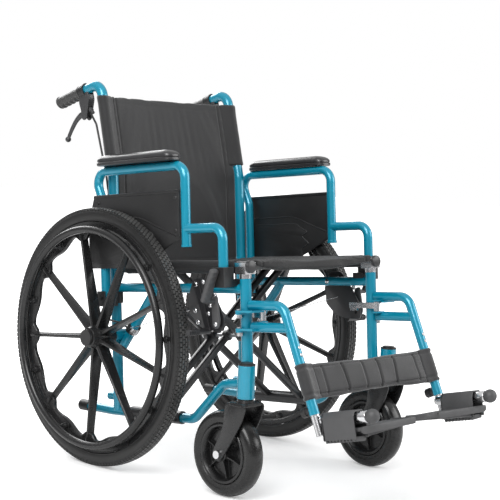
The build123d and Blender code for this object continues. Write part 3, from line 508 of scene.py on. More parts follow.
def tread_profile(phase):
    """(x, radius) round the tyre at one phase of the block pattern."""
    base = TYRE_R - 2.4 * MM
    rows = [(-14.2, -8.4, 0.0), (-6.6, -0.9, 0.5), (0.9, 6.6, 0.0), (8.4, 14.2, 0.5)]
    top = []
    for start, end, shift in rows:
        gap = abs((phase - shift + 0.5) % 1.0 - 0.5) < 0.1
        for x, raised in ((start, False), (start + 0.7, True), (end - 0.7, True), (end, False)):
            crown = 2.2 * (x / 15) ** 2
            lift = 2.4 if raised and not gap else 0.0
            top.append((x, base + (lift - crown) * MM))

    def sidewall(lug):
        return [(11.5, RIM_R + 0.6 * MM), (14.6, RIM_R + 1.0 * MM), (15.6, RIM_R + 2.6 * MM),
                (15.0, RIM_R + 4.0 * MM), (16.2, RIM_R + 8 * MM), (17.0, RIM_R + 15 * MM),
                (16.6, RIM_R + 21 * MM), (15.8, RIM_R + 23 * MM),
                (15.2 + lug, RIM_R + 24.5 * MM), (14.6 + lug, RIM_R + 28 * MM)]

    left_gap, right_gap = (abs((phase - shift + 0.5) % 1.0 - 0.5) < 0.1 for shift in (0.0, 0.5))
    left = [(-x, r) for x, r in sidewall(0.0 if left_gap else 1.4)]
    right = sidewall(0.0 if right_gap else 1.4)[::-1]
    scale = TYRE_HALF / (17.0 * MM) * MM
    return [(WHEEL_X + x * scale, r) for x, r in left + top + right]


def build_tyre(side):
    blocks = 176
    phases = (0.07, 0.13, 0.37, 0.43, 0.57, 0.63, 0.87, 0.93)
    rings = []
    for block in range(blocks):
        for phase in phases:
            angle = 2 * math.pi * (block + phase) / blocks
            rings.append(spun(tread_profile(phase), angle))
    shell = Shell()
    shell.loft(rings, loop=True)
    tyre = fit(shell, side, "block_tread_tyre_{}", TYRE_RUBBER, "rear_wheel_{}", "tyre_{}",
               "rubber_tyre", ON_AXLE, sharp=28)
    # Block-top faces take the lighter second rubber: a painted highlight on the tread blocks.
    tyre.data.materials.append(PAINTED_TREAD_HIGHLIGHT)
    for polygon in tyre.data.polygons:
        if math.hypot(polygon.center.y - AXLE.y, polygon.center.z - AXLE.z) > TYRE_R - 2.2 * MM:
            polygon.material_index = 1


def build_handrim(side):
    shell = Shell()

    def ring_section(angle):
        steps = 20
        return [(HANDRIM_X + HANDRIM_TUBE * math.cos(2 * math.pi * k / steps),
                 HANDRIM_R + HANDRIM_TUBE * math.sin(2 * math.pi * k / steps)) for k in range(steps)]

    shell.loft(wheel_rings(ring_section, 180), loop=True)
    start = WHEEL_X + 14.4 * MM
    reach = HANDRIM_X - 3 * MM - start
    stud = [(0, 6.6 * MM), (1.2 * MM, 6.4 * MM), (3 * MM, 5.2 * MM), (reach * 0.7, 5.0 * MM),
            (reach * 0.9, 6.2 * MM), (reach, 7.2 * MM)]
    for k in range(SPOKES):
        turn = Matrix.Rotation(2 * math.pi * (k + 0.5) / SPOKES, 3, "X")
        shell.loft(lathe_rings(turn @ Vector((start, HANDRIM_R - 3 * MM, 0)), (1, 0, 0), stud, 20))
    fit(shell, side, "push_rim_{}", WHEEL_PLASTIC, "rear_wheel_{}", "handrim_{}", "black_plastic", ON_AXLE)


# ---------------------------------------------------------------- castors
caster_low, caster_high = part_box("caster_tyre_left")
CASTER = (caster_low + caster_high) / 2
CASTER_R = (caster_high.z - caster_low.z) / 2
CASTER_HALF = (caster_high.x - caster_low.x) / 2
STEM_Y = JOINTS["caster_swivel_left"]["pos_m"][1]


def build_caster_wheel(side):
    """Deep-dished rim with six thin ribs, and its balloon tyre."""
    at_hub = Matrix.Translation(CASTER)
    rim_r = 66 * MM
    half = CASTER_HALF
    rim = [(-half + 3 * MM, rim_r), (-half + 1.5 * MM, rim_r - 2 * MM), (-half + 2 * MM, rim_r - 6 * MM),
           (-half + 7 * MM, rim_r - 10 * MM), (-4 * MM, rim_r - 13 * MM), (4 * MM, rim_r - 13 * MM),
           (half - 7 * MM, rim_r - 10 * MM), (half - 2 * MM, rim_r - 6 * MM),
           (half - 1.5 * MM, rim_r - 2 * MM), (half - 3 * MM, rim_r)]
    shell = Shell()
    shell.loft(wheel_rings(lambda angle: rim, 96), loop=True)
    disc = [(-2.5 * MM, 10 * MM), (-2.5 * MM, rim_r - 11 * MM), (2.5 * MM, rim_r - 11 * MM),
            (2.5 * MM, 10 * MM)]
    shell.loft(wheel_rings(lambda angle: disc, 96), loop=True)
    hub = [(-half - 1.5 * MM, 5 * MM), (-half - 1.5 * MM, 14 * MM), (-half + 1 * MM, 16 * MM),
           (half - 1 * MM, 16 * MM), (half + 1.5 * MM, 14 * MM), (half + 1.5 * MM, 5 * MM)]
    shell.loft(wheel_rings(lambda angle: hub, 48), loop=True)
    for k in range(6):
        turn = Matrix.Rotation(math.radians(60 * k + 20), 3, "X")
        rings = []
        for r, depth, width in ((12, 19, 3.2), (24, 16, 2.2), (40, 12.5, 1.6), (56, 12, 1.9)):
            section = [(-depth, -width * 0.6), (-depth, width * 0.6), (0, width), (depth, width * 0.6),
                       (depth, -width * 0.6), (0, -width)]
            rings.append([turn @ Vector((x * MM, r * MM, w * MM)) for x, w in section])
        shell.loft(rings)
    fit(shell, side, "caster_rim_{}", WHEEL_PLASTIC, "caster_wheel_{}", "caster_wheel_{}",
        "wheel_plastic", at_hub)
    tyre = Shell()
    depth = CASTER_R - rim_r
    steps = 16
    section = [(-half * 0.70, rim_r + 0.3 * MM), (-half * 0.80, rim_r + 0.4 * MM),
               (-half * 0.86, rim_r + 2.2 * MM), (-half * 0.84, rim_r + 3.4 * MM)]
    for k in range(steps + 1):
        turn = math.pi * (1 - k / steps)
        x = half * math.copysign(abs(math.cos(turn)) ** 0.75, math.cos(turn))
        r = rim_r + depth * 0.36 + depth * 0.64 * math.sin(turn) ** 0.85
        groove = 0.9 * MM if k in (6, 10) else 0.0
        section.append((x, r - groove))
    section += [(-x, r) for x, r in section[3::-1]]
    tyre.loft(wheel_rings(lambda angle: section, 120), loop=True)
    fit(tyre, side, "balloon_tyre_{}", CASTER_RUBBER, "caster_wheel_{}", "caster_tyre_{}",
        "rubber_tyre", at_hub, sharp=50)


def curve_through(points, steps=6, closed=False):
    """Catmull-Rom curve through 2-D or 3-D points."""
    pts = [Vector(p) for p in points]
    count = len(pts)
    last = count if closed else count - 1
    out = []
    for k in range(last):
        p0 = pts[k - 1] if closed or k else pts[0]
        p1, p2 = pts[k], pts[(k + 1) % count]
        p3 = pts[(k + 2) % count] if closed or k + 2 < count else pts[-1]
        for i in range(steps):
            t = i / steps
            out.append(0.5 * ((2 * p1) + (p2 - p0) * t + (2 * p0 - 5 * p1 + 4 * p2 - p3) * t ** 2
                              + (3 * p1 - p0 - 3 * p2 + p3) * t ** 3))
    if not closed:
        out.append(pts[-1])
    return out


def build_caster_fork(side):
    """Pressed fork: crown under the barrel and two legs that sweep back to the axle."""
    outer = 31 * MM
    crown_z = 207 * MM
    leg = [(STEM_Y - 25 * MM, crown_z + 5 * MM), (STEM_Y + 24 * MM, crown_z + 5 * MM),
           (STEM_Y + 33 * MM, crown_z - 12 * MM), (STEM_Y + 35 * MM, crown_z - 40 * MM),
           (STEM_Y + 44 * MM, crown_z - 68 * MM), (CASTER.y + 13 * MM, CASTER.z + 12 * MM),
           (CASTER.y + 14 * MM, CASTER.z - 4 * MM), (CASTER.y + 4 * MM, CASTER.z - 14 * MM),
           (CASTER.y - 8 * MM, CASTER.z - 12 * MM), (STEM_Y + 12 * MM, CASTER.z + 28 * MM),
           (STEM_Y - 8 * MM, CASTER.z + 60 * MM), (STEM_Y - 22 * MM, crown_z - 24 * MM)]
    outline = curve_through(leg, 4, closed=True)
    shell = Shell()
    for x in (CASTER.x + 27 * MM, CASTER.x - 31 * MM):
        shell.prism([Vector((x, y, z)) for y, z in outline], (4 * MM, 0, 0), 1.2 * MM)
    left, right, ahead, behind = CASTER.x - outer, CASTER.x + outer, STEM_Y - 26 * MM, STEM_Y + 27 * MM
    plan = rounded_outline([(left, ahead), (right, ahead), (right, behind), (left, behind)], 12 * MM)
    shell.prism([Vector((x, y, crown_z)) for x, y in plan], (0, 0, 7 * MM), 2.2 * MM, 3)
    collar = mm([(0, 19), (2, 20), (9, 19.5), (10, 18), (13, 17.6)])
    shell.loft(lathe_rings((CASTER.x, STEM_Y, crown_z + 1 * MM), (0, 0, 1), collar, 40))
    fit(shell, side, "swivel_fork_{}", FORK_PLASTIC, "caster_fork_{}", "caster_fork_{}", "black_metal", None)


# ---------------------------------------------------------------- soft goods
SIDE_X = 214 * MM
CANE_Y = 16 * MM
BACK_BEND_Z = 385 * MM
RAIL_Z = 161 * MM
RAIL_R = 12.7 * MM
BACK_LEAN = math.radians(9.5)
LEAN = Vector((0, math.sin(BACK_LEAN), math.cos(BACK_LEAN)))
HANGER_SLOPE = math.radians(20)
SLOPE = Vector((0, -math.sin(HANGER_SLOPE), -math.cos(HANGER_SLOPE)))
SLOPE_FRONT = Vector((0, -math.cos(HANGER_SLOPE), math.sin(HANGER_SLOPE)))
HANGER_CORNER = Vector((0, -534 * MM, 77 * MM))
BACK_TOP = 197 * MM
SLEEVE_FROM = 31 * MM
STRAP_SPAN = (130 * MM, 208 * MM)
SEAM_X = 182 * MM


def sheet_rings(rows, half_width, front, rear, steps=44):
    """Closed rings across X: front(x, t) and rear(x, t) give the two faces of row t."""
    rings = []
    for t in rows:
        width = half_width(t)
        xs = [width * (2 * k / steps - 1) for k in range(steps + 1)]
        rings.append([front(x, t) for x in xs] + [rear(x, t) for x in reversed(xs)])
    return rings


def spread(low, high, count):
    return [low + (high - low) * k / count for k in range(count + 1)]


def baked(piece):
    """Replaces the mesh by its evaluated form and drops the modifiers."""
    graph = bpy.context.evaluated_depsgraph_get()
    mesh = bpy.data.meshes.new_from_object(piece.evaluated_get(graph))
    piece.modifiers.clear()
    piece.data = mesh


def inflate(piece, voxel, pressure, cap, pinned):
    """Remeshes a closed pad evenly, swells it as cloth under pressure, and caps how far it moves."""
    remesh = piece.modifiers.new("even", "REMESH")
    remesh.mode = "VOXEL"
    remesh.voxel_size = voxel
    baked(piece)
    rest = [v.co.copy() for v in piece.data.vertices]
    group = piece.vertex_groups.new(name="pinned")
    group.add([k for k, p in enumerate(rest) if pinned(p)], 1.0, "REPLACE")
    cloth = piece.modifiers.new("swell", "CLOTH")
    cloth.settings.use_pressure = True
    cloth.settings.uniform_pressure_force = pressure
    cloth.settings.effector_weights.gravity = 0
    cloth.settings.vertex_group_mass = "pinned"
    cloth.settings.quality = 5
    cloth.settings.bending_stiffness = 0.6
    cloth.collision_settings.use_collision = False
    cloth.collision_settings.use_self_collision = False
    cloth.point_cache.frame_end = 20
    for number in range(1, 21):
        bpy.context.scene.frame_set(number)
    baked(piece)
    for vertex, start in zip(piece.data.vertices, rest):
        move = vertex.co - start
        if move.length > cap:
            vertex.co = start + move * (cap / move.length)
    bpy.context.scene.frame_set(1)


def soften(piece, levels=1):
    smooth = piece.modifiers.new("soft", "SUBSURF")
    smooth.levels = levels
    smooth.render_levels = levels
    baked(piece)


def shape_surface(piece, depth_at):
    """Moves each point along its normal by depth_at(point)."""
    normals = [v.normal.copy() for v in piece.data.vertices]
    for vertex, normal in zip(piece.data.vertices, normals):
        vertex.co += normal * depth_at(vertex.co)


def groove(distance, width, depth):
    return -depth * math.exp(-(distance / width) ** 2)


def sew(piece, path, thread=0.55 * MM, stitch=3.2 * MM, gap=1.6 * MM):
    """Adds a row of thread stitches that lie on the piece along a path near its surface."""
    bm = bmesh.new()
    bm.from_mesh(piece.data)
    tree = BVHTree.FromBMesh(bm)
    travelled = 0.0
    spots = []
    for one, two in zip(path, path[1:]):
        length = (two - one).length
        while travelled < length:
            spots.append((one + (two - one) * (travelled / length), (two - one).normalized()))
            travelled += stitch + gap
        travelled -= length
    for spot, heading in spots:
        place, normal, _, _ = tree.find_nearest(spot)
        if place is None:
            continue
        across = normal.cross(heading).normalized()
        ahead = across.cross(normal)
        rings = []
        for t, r, lift in ((-0.5, 0.5, -0.3), (-0.3, 1.0, 0.5), (0.3, 1.0, 0.5), (0.5, 0.5, -0.3)):
            centre = place + ahead * (stitch * t) + normal * (thread * lift)
            rings.append([bm.verts.new(p) for p in circle(centre, across, normal, thread * r, 6)])
        for a, b in zip(rings, rings[1:]):
            for k in range(6):
                face = bm.faces.new((a[k], a[(k + 1) % 6], b[(k + 1) % 6], b[k]))
                face.material_index = 1
                face.smooth = True
        for end in (rings[0][::-1], rings[-1]):
            bm.faces.new(end).material_index = 1
    bm.to_mesh(piece.data)
    bm.free()
    if len(piece.data.materials) < 2:
        piece.data.materials.append(THREAD)


def soft_piece(name, rings, material, voxel, pressure, cap, pinned):
    shell = Shell()
    shell.loft(rings)
    piece = shell.place(name, material, None)
    inflate(piece, voxel, pressure, cap, pinned)
    soften(piece)
    return piece


def settle(piece, material, body, replaces, joint=None):
    """Leans the finished piece with the frame, then rides and replaces it; with a joint, it gets its own
    mesh.
    """
    piece.data.transform(TILTED)
    if not piece.data.materials:
        piece.data.materials.append(material)
    for polygon in piece.data.polygons:
        polygon.use_smooth = True
    if replaces:
        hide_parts(*replaces)
    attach(piece, body)
    if joint:
        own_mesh(piece)


def wrinkle(point, scale, depth):
    return depth * noise.noise(point * scale)


def back_plane(x, height):
    """Mid surface of the back sheet: straight below the cane bend, leaning above it."""
    sag = 18 * MM * (1 - (x / SIDE_X) ** 2)
    if height <= BACK_BEND_Z:
        return Vector((x, CANE_Y + sag, height))
    up = LEAN * (height - BACK_BEND_Z)
    return Vector((x, CANE_Y + sag + up.y, BACK_BEND_Z + up.z))


def build_back():
    top = BACK_BEND_Z + BACK_TOP
    bottom = 160 * MM
    sleeve_from = BACK_BEND_Z + SLEEVE_FROM

    def half_width(height):
        return 201.0 * MM - 16 * MM * smooth_step((height - sleeve_from - 2 * MM) / (14 * MM))

    thick = 4.2 * MM
    rings = sheet_rings(spread(bottom, top, 60), half_width,
                        lambda x, t: back_plane(x, t) + Vector((0, -thick, 0)),
                        lambda x, t: back_plane(x, t) + Vector((0, thick, 0)))
    panel = soft_piece("back_panel", rings, NYLON, 4.6 * MM, 1.6, 5 * MM,
                       lambda p: abs(p.x) > 172 * MM or p.z > top - 16 * MM)

    def relief(p):
        drop = top - p.z
        depth = groove(abs(p.x) - 172 * MM, 2.4 * MM, 2.6 * MM) + groove(drop - 20 * MM, 2.0 * MM, 0.5 * MM)
        depth += groove(p.z - bottom - 16 * MM, 2.0 * MM, 1.4 * MM)
        tug = math.exp(-((abs(p.x) - 200 * MM) / (70 * MM)) ** 2)
        fold = math.sin(p.z / (34 * MM) + 2.2 * noise.noise(p * 6)) * 0.5 * MM * tug
        free = smooth_step((200 * MM - abs(p.x)) / (14 * MM))
        return depth + (fold + wrinkle(p + Vector((3, 1, 2)), 4.5, 1.6 * MM)) * free

    shape_surface(panel, relief)
    ahead = Vector((0, -8 * MM, 0))
    for side in (-1, 1):
        heights = spread(bottom + 6 * MM, top - 4 * MM, 40)
        sew(panel, [back_plane(side * 170 * MM, h) + ahead for h in heights])
    sew(panel, [back_plane(x, bottom + 14 * MM) + ahead for x in spread(-180 * MM, 180 * MM, 30)])
    settle(panel, NYLON, "right_side", ["back_sling"], "fold")
    for side, sign in SIDES.items():
        build_back_sleeve(side, sign, top)


def teardrop(centre, seam, around, wrap_r, thick):
    """Section of a sleeve: round the tube, drawn in to a flat seam. around is the plane's second axis."""
    to_seam = seam - centre
    reach = to_seam.length
    u = to_seam / reach
    v = around.normalized()
    start = math.radians(62)
    steps = 22
    points = []
    for k in range(steps + 1):
        angle = start + (2 * math.pi - 2 * start) * k / steps
        points.append(centre + u * (wrap_r * math.cos(angle)) + v * (wrap_r * math.sin(angle)))
    low = seam - v * thick
    high = seam + v * thick
    last = points[-1]
    first = points[0]
    points += [last.lerp(low, 0.4) + v * 1.2 * MM, last.lerp(low, 0.8) + v * 0.4 * MM, low, high,
               high.lerp(first, 0.2) - v * 0.4 * MM, high.lerp(first, 0.6) - v * 1.2 * MM]
    return points


def build_back_sleeve(side, sign, top):
    shell = Shell()
    rings = []
    start = BACK_BEND_Z + SLEEVE_FROM
    for k, height in enumerate(spread(start, top, 26)):
        centre = Vector((sign * SIDE_X, back_plane(SIDE_X, height).y, back_plane(SIDE_X, height).z))
        seam = back_plane(sign * SEAM_X, height)
        seam.z = centre.z
        swell = 0.5 * MM * noise.noise(Vector((sign, 0, height * 40)))
        edge = 0.7 * MM if height > top - 14 * MM or height < start + 9 * MM else 0.0
        rings.append(teardrop(centre, seam, Vector((0, 1, 0)), 15.4 * MM + swell + edge, 4.6 * MM + edge))
    shell.loft(rings)
    sleeve = shell.place(f"back_sleeve_{side}", NYLON, None)
    soften(sleeve)
    sleeve.data.materials.clear()
    sleeve.data.materials.append(NYLON)
    settle(sleeve, NYLON, f"{side}_side", None)


def seat_middle(x, y):
    """Mid surface of the seat sheet, slung between the tops of the rails."""
    share = x / (199 * MM)
    sag = 15 * MM * (1 - abs(share) ** 2.2)
    return Vector((x, y, RAIL_Z + RAIL_R - 3.5 * MM - sag))


def build_seat():
    front = -442 * MM
    rear = -32 * MM

    def thickness(t):
        hem = math.exp(-((t - front - 9 * MM) / (9 * MM)) ** 2)
        return (4.6 + 4.0 * hem) * MM

    rings = sheet_rings(spread(front, rear, 60), lambda t: 197.5 * MM,
                        lambda x, t: seat_middle(x, t) + Vector((0, 0, thickness(t))),
                        lambda x, t: seat_middle(x, t) - Vector((0, 0, thickness(t))))
    pad = soft_piece("seat_pad", rings, SEAT_NYLON, 4.6 * MM, 2.2, 6 * MM, lambda p: abs(p.x) > 184 * MM)

    def relief(p):
        depth = groove(p.y - front - 26 * MM, 2.2 * MM, 2.4 * MM)
        depth += groove(abs(p.x) - 176 * MM, 2.2 * MM, 2.2 * MM)
        tug = math.exp(-((p.y - front) / (60 * MM)) ** 2)
        fold = 1.0 * MM * tug * math.sin(p.x / (26 * MM) + 2 * noise.noise(p * 11))
        return depth + fold + wrinkle(p, 9.0, 2.4 * MM)

    shape_surface(pad, relief)
    above = Vector((0, 0, 9 * MM))
    for y in (front + 28 * MM, rear - 12 * MM):
        sew(pad, [seat_middle(x, y) + above for x in spread(-192 * MM, 192 * MM, 30)])
    for side in (-1, 1):
        sew(pad, [seat_middle(side * 174 * MM, y) + above for y in spread(front + 30 * MM, rear, 40)])
    settle(pad, SEAT_NYLON, "seat", ["seat_sling"], "fold")
    for side, sign in SIDES.items():
        shell = Shell()
        rings = []
        for y in spread(-404 * MM, -30 * MM, 40):
            centre = Vector((sign * SIDE_X, y, RAIL_Z))
            seam = seat_middle(sign * 196 * MM, y)
            swell = 0.5 * MM * noise.noise(Vector((sign * 2, y * 35, 1)))
            edge = 0.6 * MM if y < -394 * MM or y > -42 * MM else 0.0
            rings.append(seat_wrap(centre, seam, sign, 15.2 * MM + swell + edge))
        shell.loft(rings)
        wrap = shell.place(f"seat_wrap_{side}", SEAT_NYLON, None)
        soften(wrap)
        settle(wrap, SEAT_NYLON, "brace_a" if side == "left" else "brace_b", None)


def seat_wrap(centre, seam, sign, wrap_r):
    """Cloth that runs from the seat sheet over the rail and down its outer side."""
    inner_r = RAIL_R + 0.35 * MM
    outer = []
    inner = []
    steps = 18
    for k in range(steps + 1):
        angle = math.radians(112 - 190 * k / steps)
        ray = Vector((sign * math.cos(angle), 0, math.sin(angle)))
        outer.append(centre + ray * wrap_r)
        inner.append(centre + ray * inner_r)
    return [seam + Vector((0, 0, 2.6 * MM))] + outer + inner[::-1] + [seam - Vector((0, 0, 1.6 * MM))]


def strap_point(x, down, proud):
    """Point on the calf strap: down the hangers' slope, proud towards the front."""
    return Vector((x, 0, 0)) + HANGER_CORNER + SLOPE * (STRAP_SPAN[0] + down) + SLOPE_FRONT * proud


def build_calf_strap():
    tall = STRAP_SPAN[1] - STRAP_SPAN[0]

    def thickness(down):
        edge = min(down, tall - down) / (10 * MM)
        return (3.2 + 3.0 * smooth_step(edge)) * MM

    rings = sheet_rings(spread(0, tall, 18), lambda t: 185 * MM,
                        lambda x, t: strap_point(x, t, thickness(t)),
                        lambda x, t: strap_point(x, t, -thickness(t)), 60)
    strap = soft_piece("calf_panel", rings, QUILT, 3.6 * MM, 5.0, 7 * MM, lambda p: abs(p.x) > 180 * MM)
    channels = [(-160 * MM, 2.6), (-92 * MM, 4.6), (-30 * MM, 2.4), (22 * MM, 4.4), (80 * MM, 4.0),
                (158 * MM, 2.6)]

    def relief(p):
        down = (p - HANGER_CORNER).dot(SLOPE) - STRAP_SPAN[0]
        edge = min(down, tall - down)
        depth = groove(edge - 10 * MM, 1.8 * MM, 2.0 * MM)
        if edge > 7 * MM:
            for line, deep in channels:
                lean = 7 * MM * noise.noise(Vector((line * 90, p.z * 14, 0)))
                depth += groove(p.x - line - lean, 3.0 * MM, deep * MM)
        return depth + wrinkle(p, 16.0, 2.6 * MM)

    shape_surface(strap, relief)
    for down in (9 * MM, tall - 9 * MM):
        sew(strap, [strap_point(x, down, 12 * MM) for x in spread(-184 * MM, 184 * MM, 40)])
    for line, _ in channels:
        sew(strap, [strap_point(line, d, 12 * MM) for d in spread(12 * MM, tall - 12 * MM, 8)])
    settle(strap, QUILT, "hanger_right", ["calf_strap"], "fold")
    for side, sign in SIDES.items():
        shell = Shell()
        rings = []
        for down in spread(0, tall, 39):
            centre = strap_point(sign * SIDE_X, down, 0)
            seam = strap_point(sign * SEAM_X, down, 0)
            edge = min(down, tall - down)
            dip = 1.9 * smooth_step((edge - 6 * MM) / (3 * MM))
            rise = 1.6 * smooth_step((edge - 11 * MM) / (5 * MM))
            hem = (0.7 - dip + rise) * MM
            rings.append(teardrop(centre, seam, SLOPE_FRONT, 13.6 * MM + hem, 5.2 * MM + hem))
        shell.loft(rings)
        sleeve = shell.place(f"calf_sleeve_{side}", QUILT, None)
        soften(sleeve)
        settle(sleeve, QUILT, f"hanger_{side}", None)


# ---------------------------------------------------------------- armrests
def on_side(x, points):
    """Frame-axes points at one X from (y, z) millimetres."""
    return [Vector((x * MM, y * MM, z * MM)) for y, z in points]


def build_armrest_pad(side):
    """Moulded pad: a lower lip, a parting groove and a crown that thins towards the back."""
    front, rear = -255 * MM, 6 * MM
    middle = Vector((257 * MM, (front + rear) / 2))
    base_z = 402.2 * MM
    levels = [(0, 1.4), (1.6, 0), (7.0, 0), (7.8, 0.7), (8.4, 2.4), (9.4, 2.2), (10.4, 0.9), (16, 0.9),
              (20, 2.4), (23.5, 5.2), (26, 9.0), (27.6, 14.0), (28.2, 19.0)]
    shell = Shell()
    rings = []
    for height, inset in levels:
        wide = (25 - inset) * MM
        long = (rear - front) / 2 - inset * 1.3 * MM
        plan = rounded_outline([(-wide, -long), (wide, -long), (wide, long), (-wide, long)], 24 * MM, 9)
        ring = []
        for p in plan:
            along = (p.y + (rear - front) / 2) / (rear - front)
            crown = 0.30 + 0.70 * math.sin(math.pi * (0.08 + 0.84 * along)) ** 0.6
            lift = min(height, 8.4) + max(0.0, height - 8.4) * crown * 1.12
            ring.append(Vector((middle.x + p.x, middle.y + p.y, base_z + lift * MM)))
        rings.append(ring)
    shell.loft(rings)
    fit(shell, side, "armrest_cushion_{}", PAD_SKIN, "armrest_{}", "armrest_pad_{}", "pad_foam")


def build_guard(side):
    """Pressed side panel: a creased lower field, a notched inner field, a rolled top edge and screws."""
    panel = [(30, 334), (54, 270), (54, 160), (-120, 160), (-180, 184), (-268, 226), (-268, 336)]
    creased = [(53, 276), (-130, 276), (-267, 229), (-180, 185), (-120, 161), (53, 161)]
    notched = [(52, 258), (-136, 258), (-177, 238), (-162, 226), (-182, 208), (-160, 193),
               (-160, 170), (52, 170)]
    shell = Shell()
    for points, low, high in ((panel, 261.2, 262.4), (creased, 260.3, 263.1), (notched, 259.4, 263.8)):
        shell.prism(on_side(low, rounded_outline(points, 4, 3)), ((high - low) * MM, 0, 0), 0.4 * MM)
    for line in (creased[:3], notched[:7]):
        path = [(0, line[0][1])] + line[1:]
        track = path[:1]
        for a, b in zip(path, path[1:]):
            track += [((a[0] + b[0]) / 2, (a[1] + b[1]) / 2), b]
        for x in (260.3, 263.3):
            shell.loft(swept_rings(on_side(x, track), [1.5] * len(track), 10))
    lip = [(30, 334), (-268, 336), (-268, 329), (33, 327)]
    shell.prism(on_side(259.3, lip), (4.6 * MM, 0, 0), 1.2 * MM, 3)
    front = [(-268, 336), (-268, 227), (-262, 229), (-262, 336)]
    shell.prism(on_side(259.5, front), (4.0 * MM, 0, 0), 1.0 * MM)
    dome = [(0, 4.6), (0.9, 4.4), (1.9, 3.0), (2.3, 0.8)]
    for y, z in ((-255, 318), (-255, 244), (46, 176), (46, 236), (16, 316)):
        start = Vector((262.2 * MM, y * MM, z * MM))
        shell.loft(lathe_rings(start, (1, 0, 0), mm(dome), 16))
    fit(shell, side, "side_guard_{}", GUARD_PLASTIC, "armrest_{}", "clothing_guard_{}",
        "black_plastic", sharp=25)


# ---------------------------------------------------------------- push handles
HANDLE_DROOP = math.radians(12.5)
DROOP = Vector((0, math.cos(HANDLE_DROOP), -math.sin(HANDLE_DROOP)))
HANDLE_CORNER = Vector((SIDE_X, CANE_Y, BACK_BEND_Z)) + LEAN * (225 * MM / LEAN.z)
GRIP_SPAN = (76, 164)


def build_grip(side):
    """Rubber grip: smooth on top, finger waves below, a collar at the front and a rounded end."""
    low, high = GRIP_SPAN
    up = Vector((1, 0, 0)).cross(DROOP)
    rings = []
    steps = 48
    for k in range(89):
        t = low + (high - low) * k / 88
        ring = []
        for i in range(steps):
            turn = 2 * math.pi * i / steps
            below = max(0.0, -math.sin(turn)) ** 0.7
            radius = 14.9 + 1.7 * below * math.cos(2 * math.pi * (t - low - 9) / 16.5)
            radius += 2.0 * (1 - smooth_step((t - low - 3) / 3)) + 1.6 * smooth_step((t - high + 7) / 4)
            radius -= 3.5 * smooth_step((t - high + 3.5) / 3.5) ** 2
            spot = HANDLE_CORNER + DROOP * (t * MM)
            out = Vector((1, 0, 0)) * (radius * MM * math.cos(turn))
            ring.append(spot + out + up * (radius * MM * math.sin(turn)))
        rings.append(ring)
    end = HANDLE_CORNER + DROOP * ((high + 0.8) * MM)
    rings.append([end + (p - HANDLE_CORNER - DROOP * (high * MM)) * 0.78 for p in rings[-1]])
    shell = Shell()
    shell.loft(rings)
    fit(shell, side, "finger_grip_{}", GRIP_RUBBER, "{}_side", "push_grip_{}", "grip_rubber")


def swept_rings(points, radii, steps=16, flat=1.0):
    """Rings along a smooth path in a YZ plane; flat narrows them across X."""
    path = curve_through([Vector(p) for p in points], 5)
    sizes = curve_through([Vector((r, 0, 0)) for r in radii], 5)
    rings = []
    for k, spot in enumerate(path):
        ahead = path[min(k + 1, len(path) - 1)] - path[max(k - 1, 0)]
        u = Vector((1, 0, 0))
        v = ahead.normalized().cross(u).normalized()
        size = sizes[k].x * MM
        rings.append([spot + u * (size * flat * math.cos(2 * math.pi * i / steps))
                      + v * (size * math.sin(2 * math.pi * i / steps)) for i in range(steps)])
    return rings


def sphere_rings(centre, radius, steps=18):
    profile = [(radius * math.sin(a), radius * math.cos(a)) for a in spread(-math.pi / 2, math.pi / 2, 10)]
    return lathe_rings(centre, (0, 0, 1), profile, steps)


def build_hand_lever(side):
    """Curved two-finger lever with a ball end, turning on its clamp pin."""
    y, z = 111, 535
    track = [(-5, 3), (7, 6), (25, 1), (42, -10), (57, -26), (70, -43), (76, -53)]
    shell = Shell()
    points = [Vector((SIDE_X, (y + dy) * MM, (z + dz) * MM)) for dy, dz in track]
    shell.loft(swept_rings(points, [7.2, 8.4, 7.4, 6.6, 6.0, 5.5, 5.2], 16, 0.66))
    shell.loft(sphere_rings(points[-1], 7.4 * MM))
    shell.loft(lathe_rings(Vector((SIDE_X - 3.2 * MM, y * MM, z * MM)), (1, 0, 0),
                           mm([(0, 6.6), (0.6, 7.2), (5.8, 7.2), (6.4, 6.6)]), 24))
    fit(shell, side, "finger_lever_{}", LEVER_FINISH, "hand_lever_{}", "hand_lever_{}", "black_metal")


def build_lever_housing(side):
    """Two cheeks that hang from the handle clamp and hold the lever's pin, and the cable adjuster."""
    cheek = [(96, 596), (128, 592), (129, 566), (122, 548), (120, 528), (111, 522), (101, 528),
             (97, 548), (90, 574)]
    shell = Shell()
    for x in (SIDE_X / MM - 9.5, SIDE_X / MM + 6.0):
        shell.prism(on_side(x, rounded_outline(cheek, 5, 4)), (3.5 * MM, 0, 0), 1.0 * MM)
    bridge = [(92, 586), (92, 574), (96, 556), (101, 556), (100, 586)]
    shell.prism(on_side(SIDE_X / MM - 6.4, bridge), (12.8 * MM, 0, 0), 1.0 * MM)
    start = Vector((SIDE_X, 100 * MM, 553 * MM))
    stem = [(0, 4.6), (4, 5.0), (5, 6.2), (11, 6.2), (12, 4.4), (20, 4.2), (21, 3.2)]
    shell.loft(lathe_rings(start, (0, -0.72, -0.69), mm(stem), 16))
    fit(shell, side, "lever_housing_{}", LEVER_FINISH, "{}_side", None, "black_metal")


# ---------------------------------------------------------------- parking brakes
BRAKE_PIVOT = (-360, 36)
SHOE_PIVOT = (-293, 123)


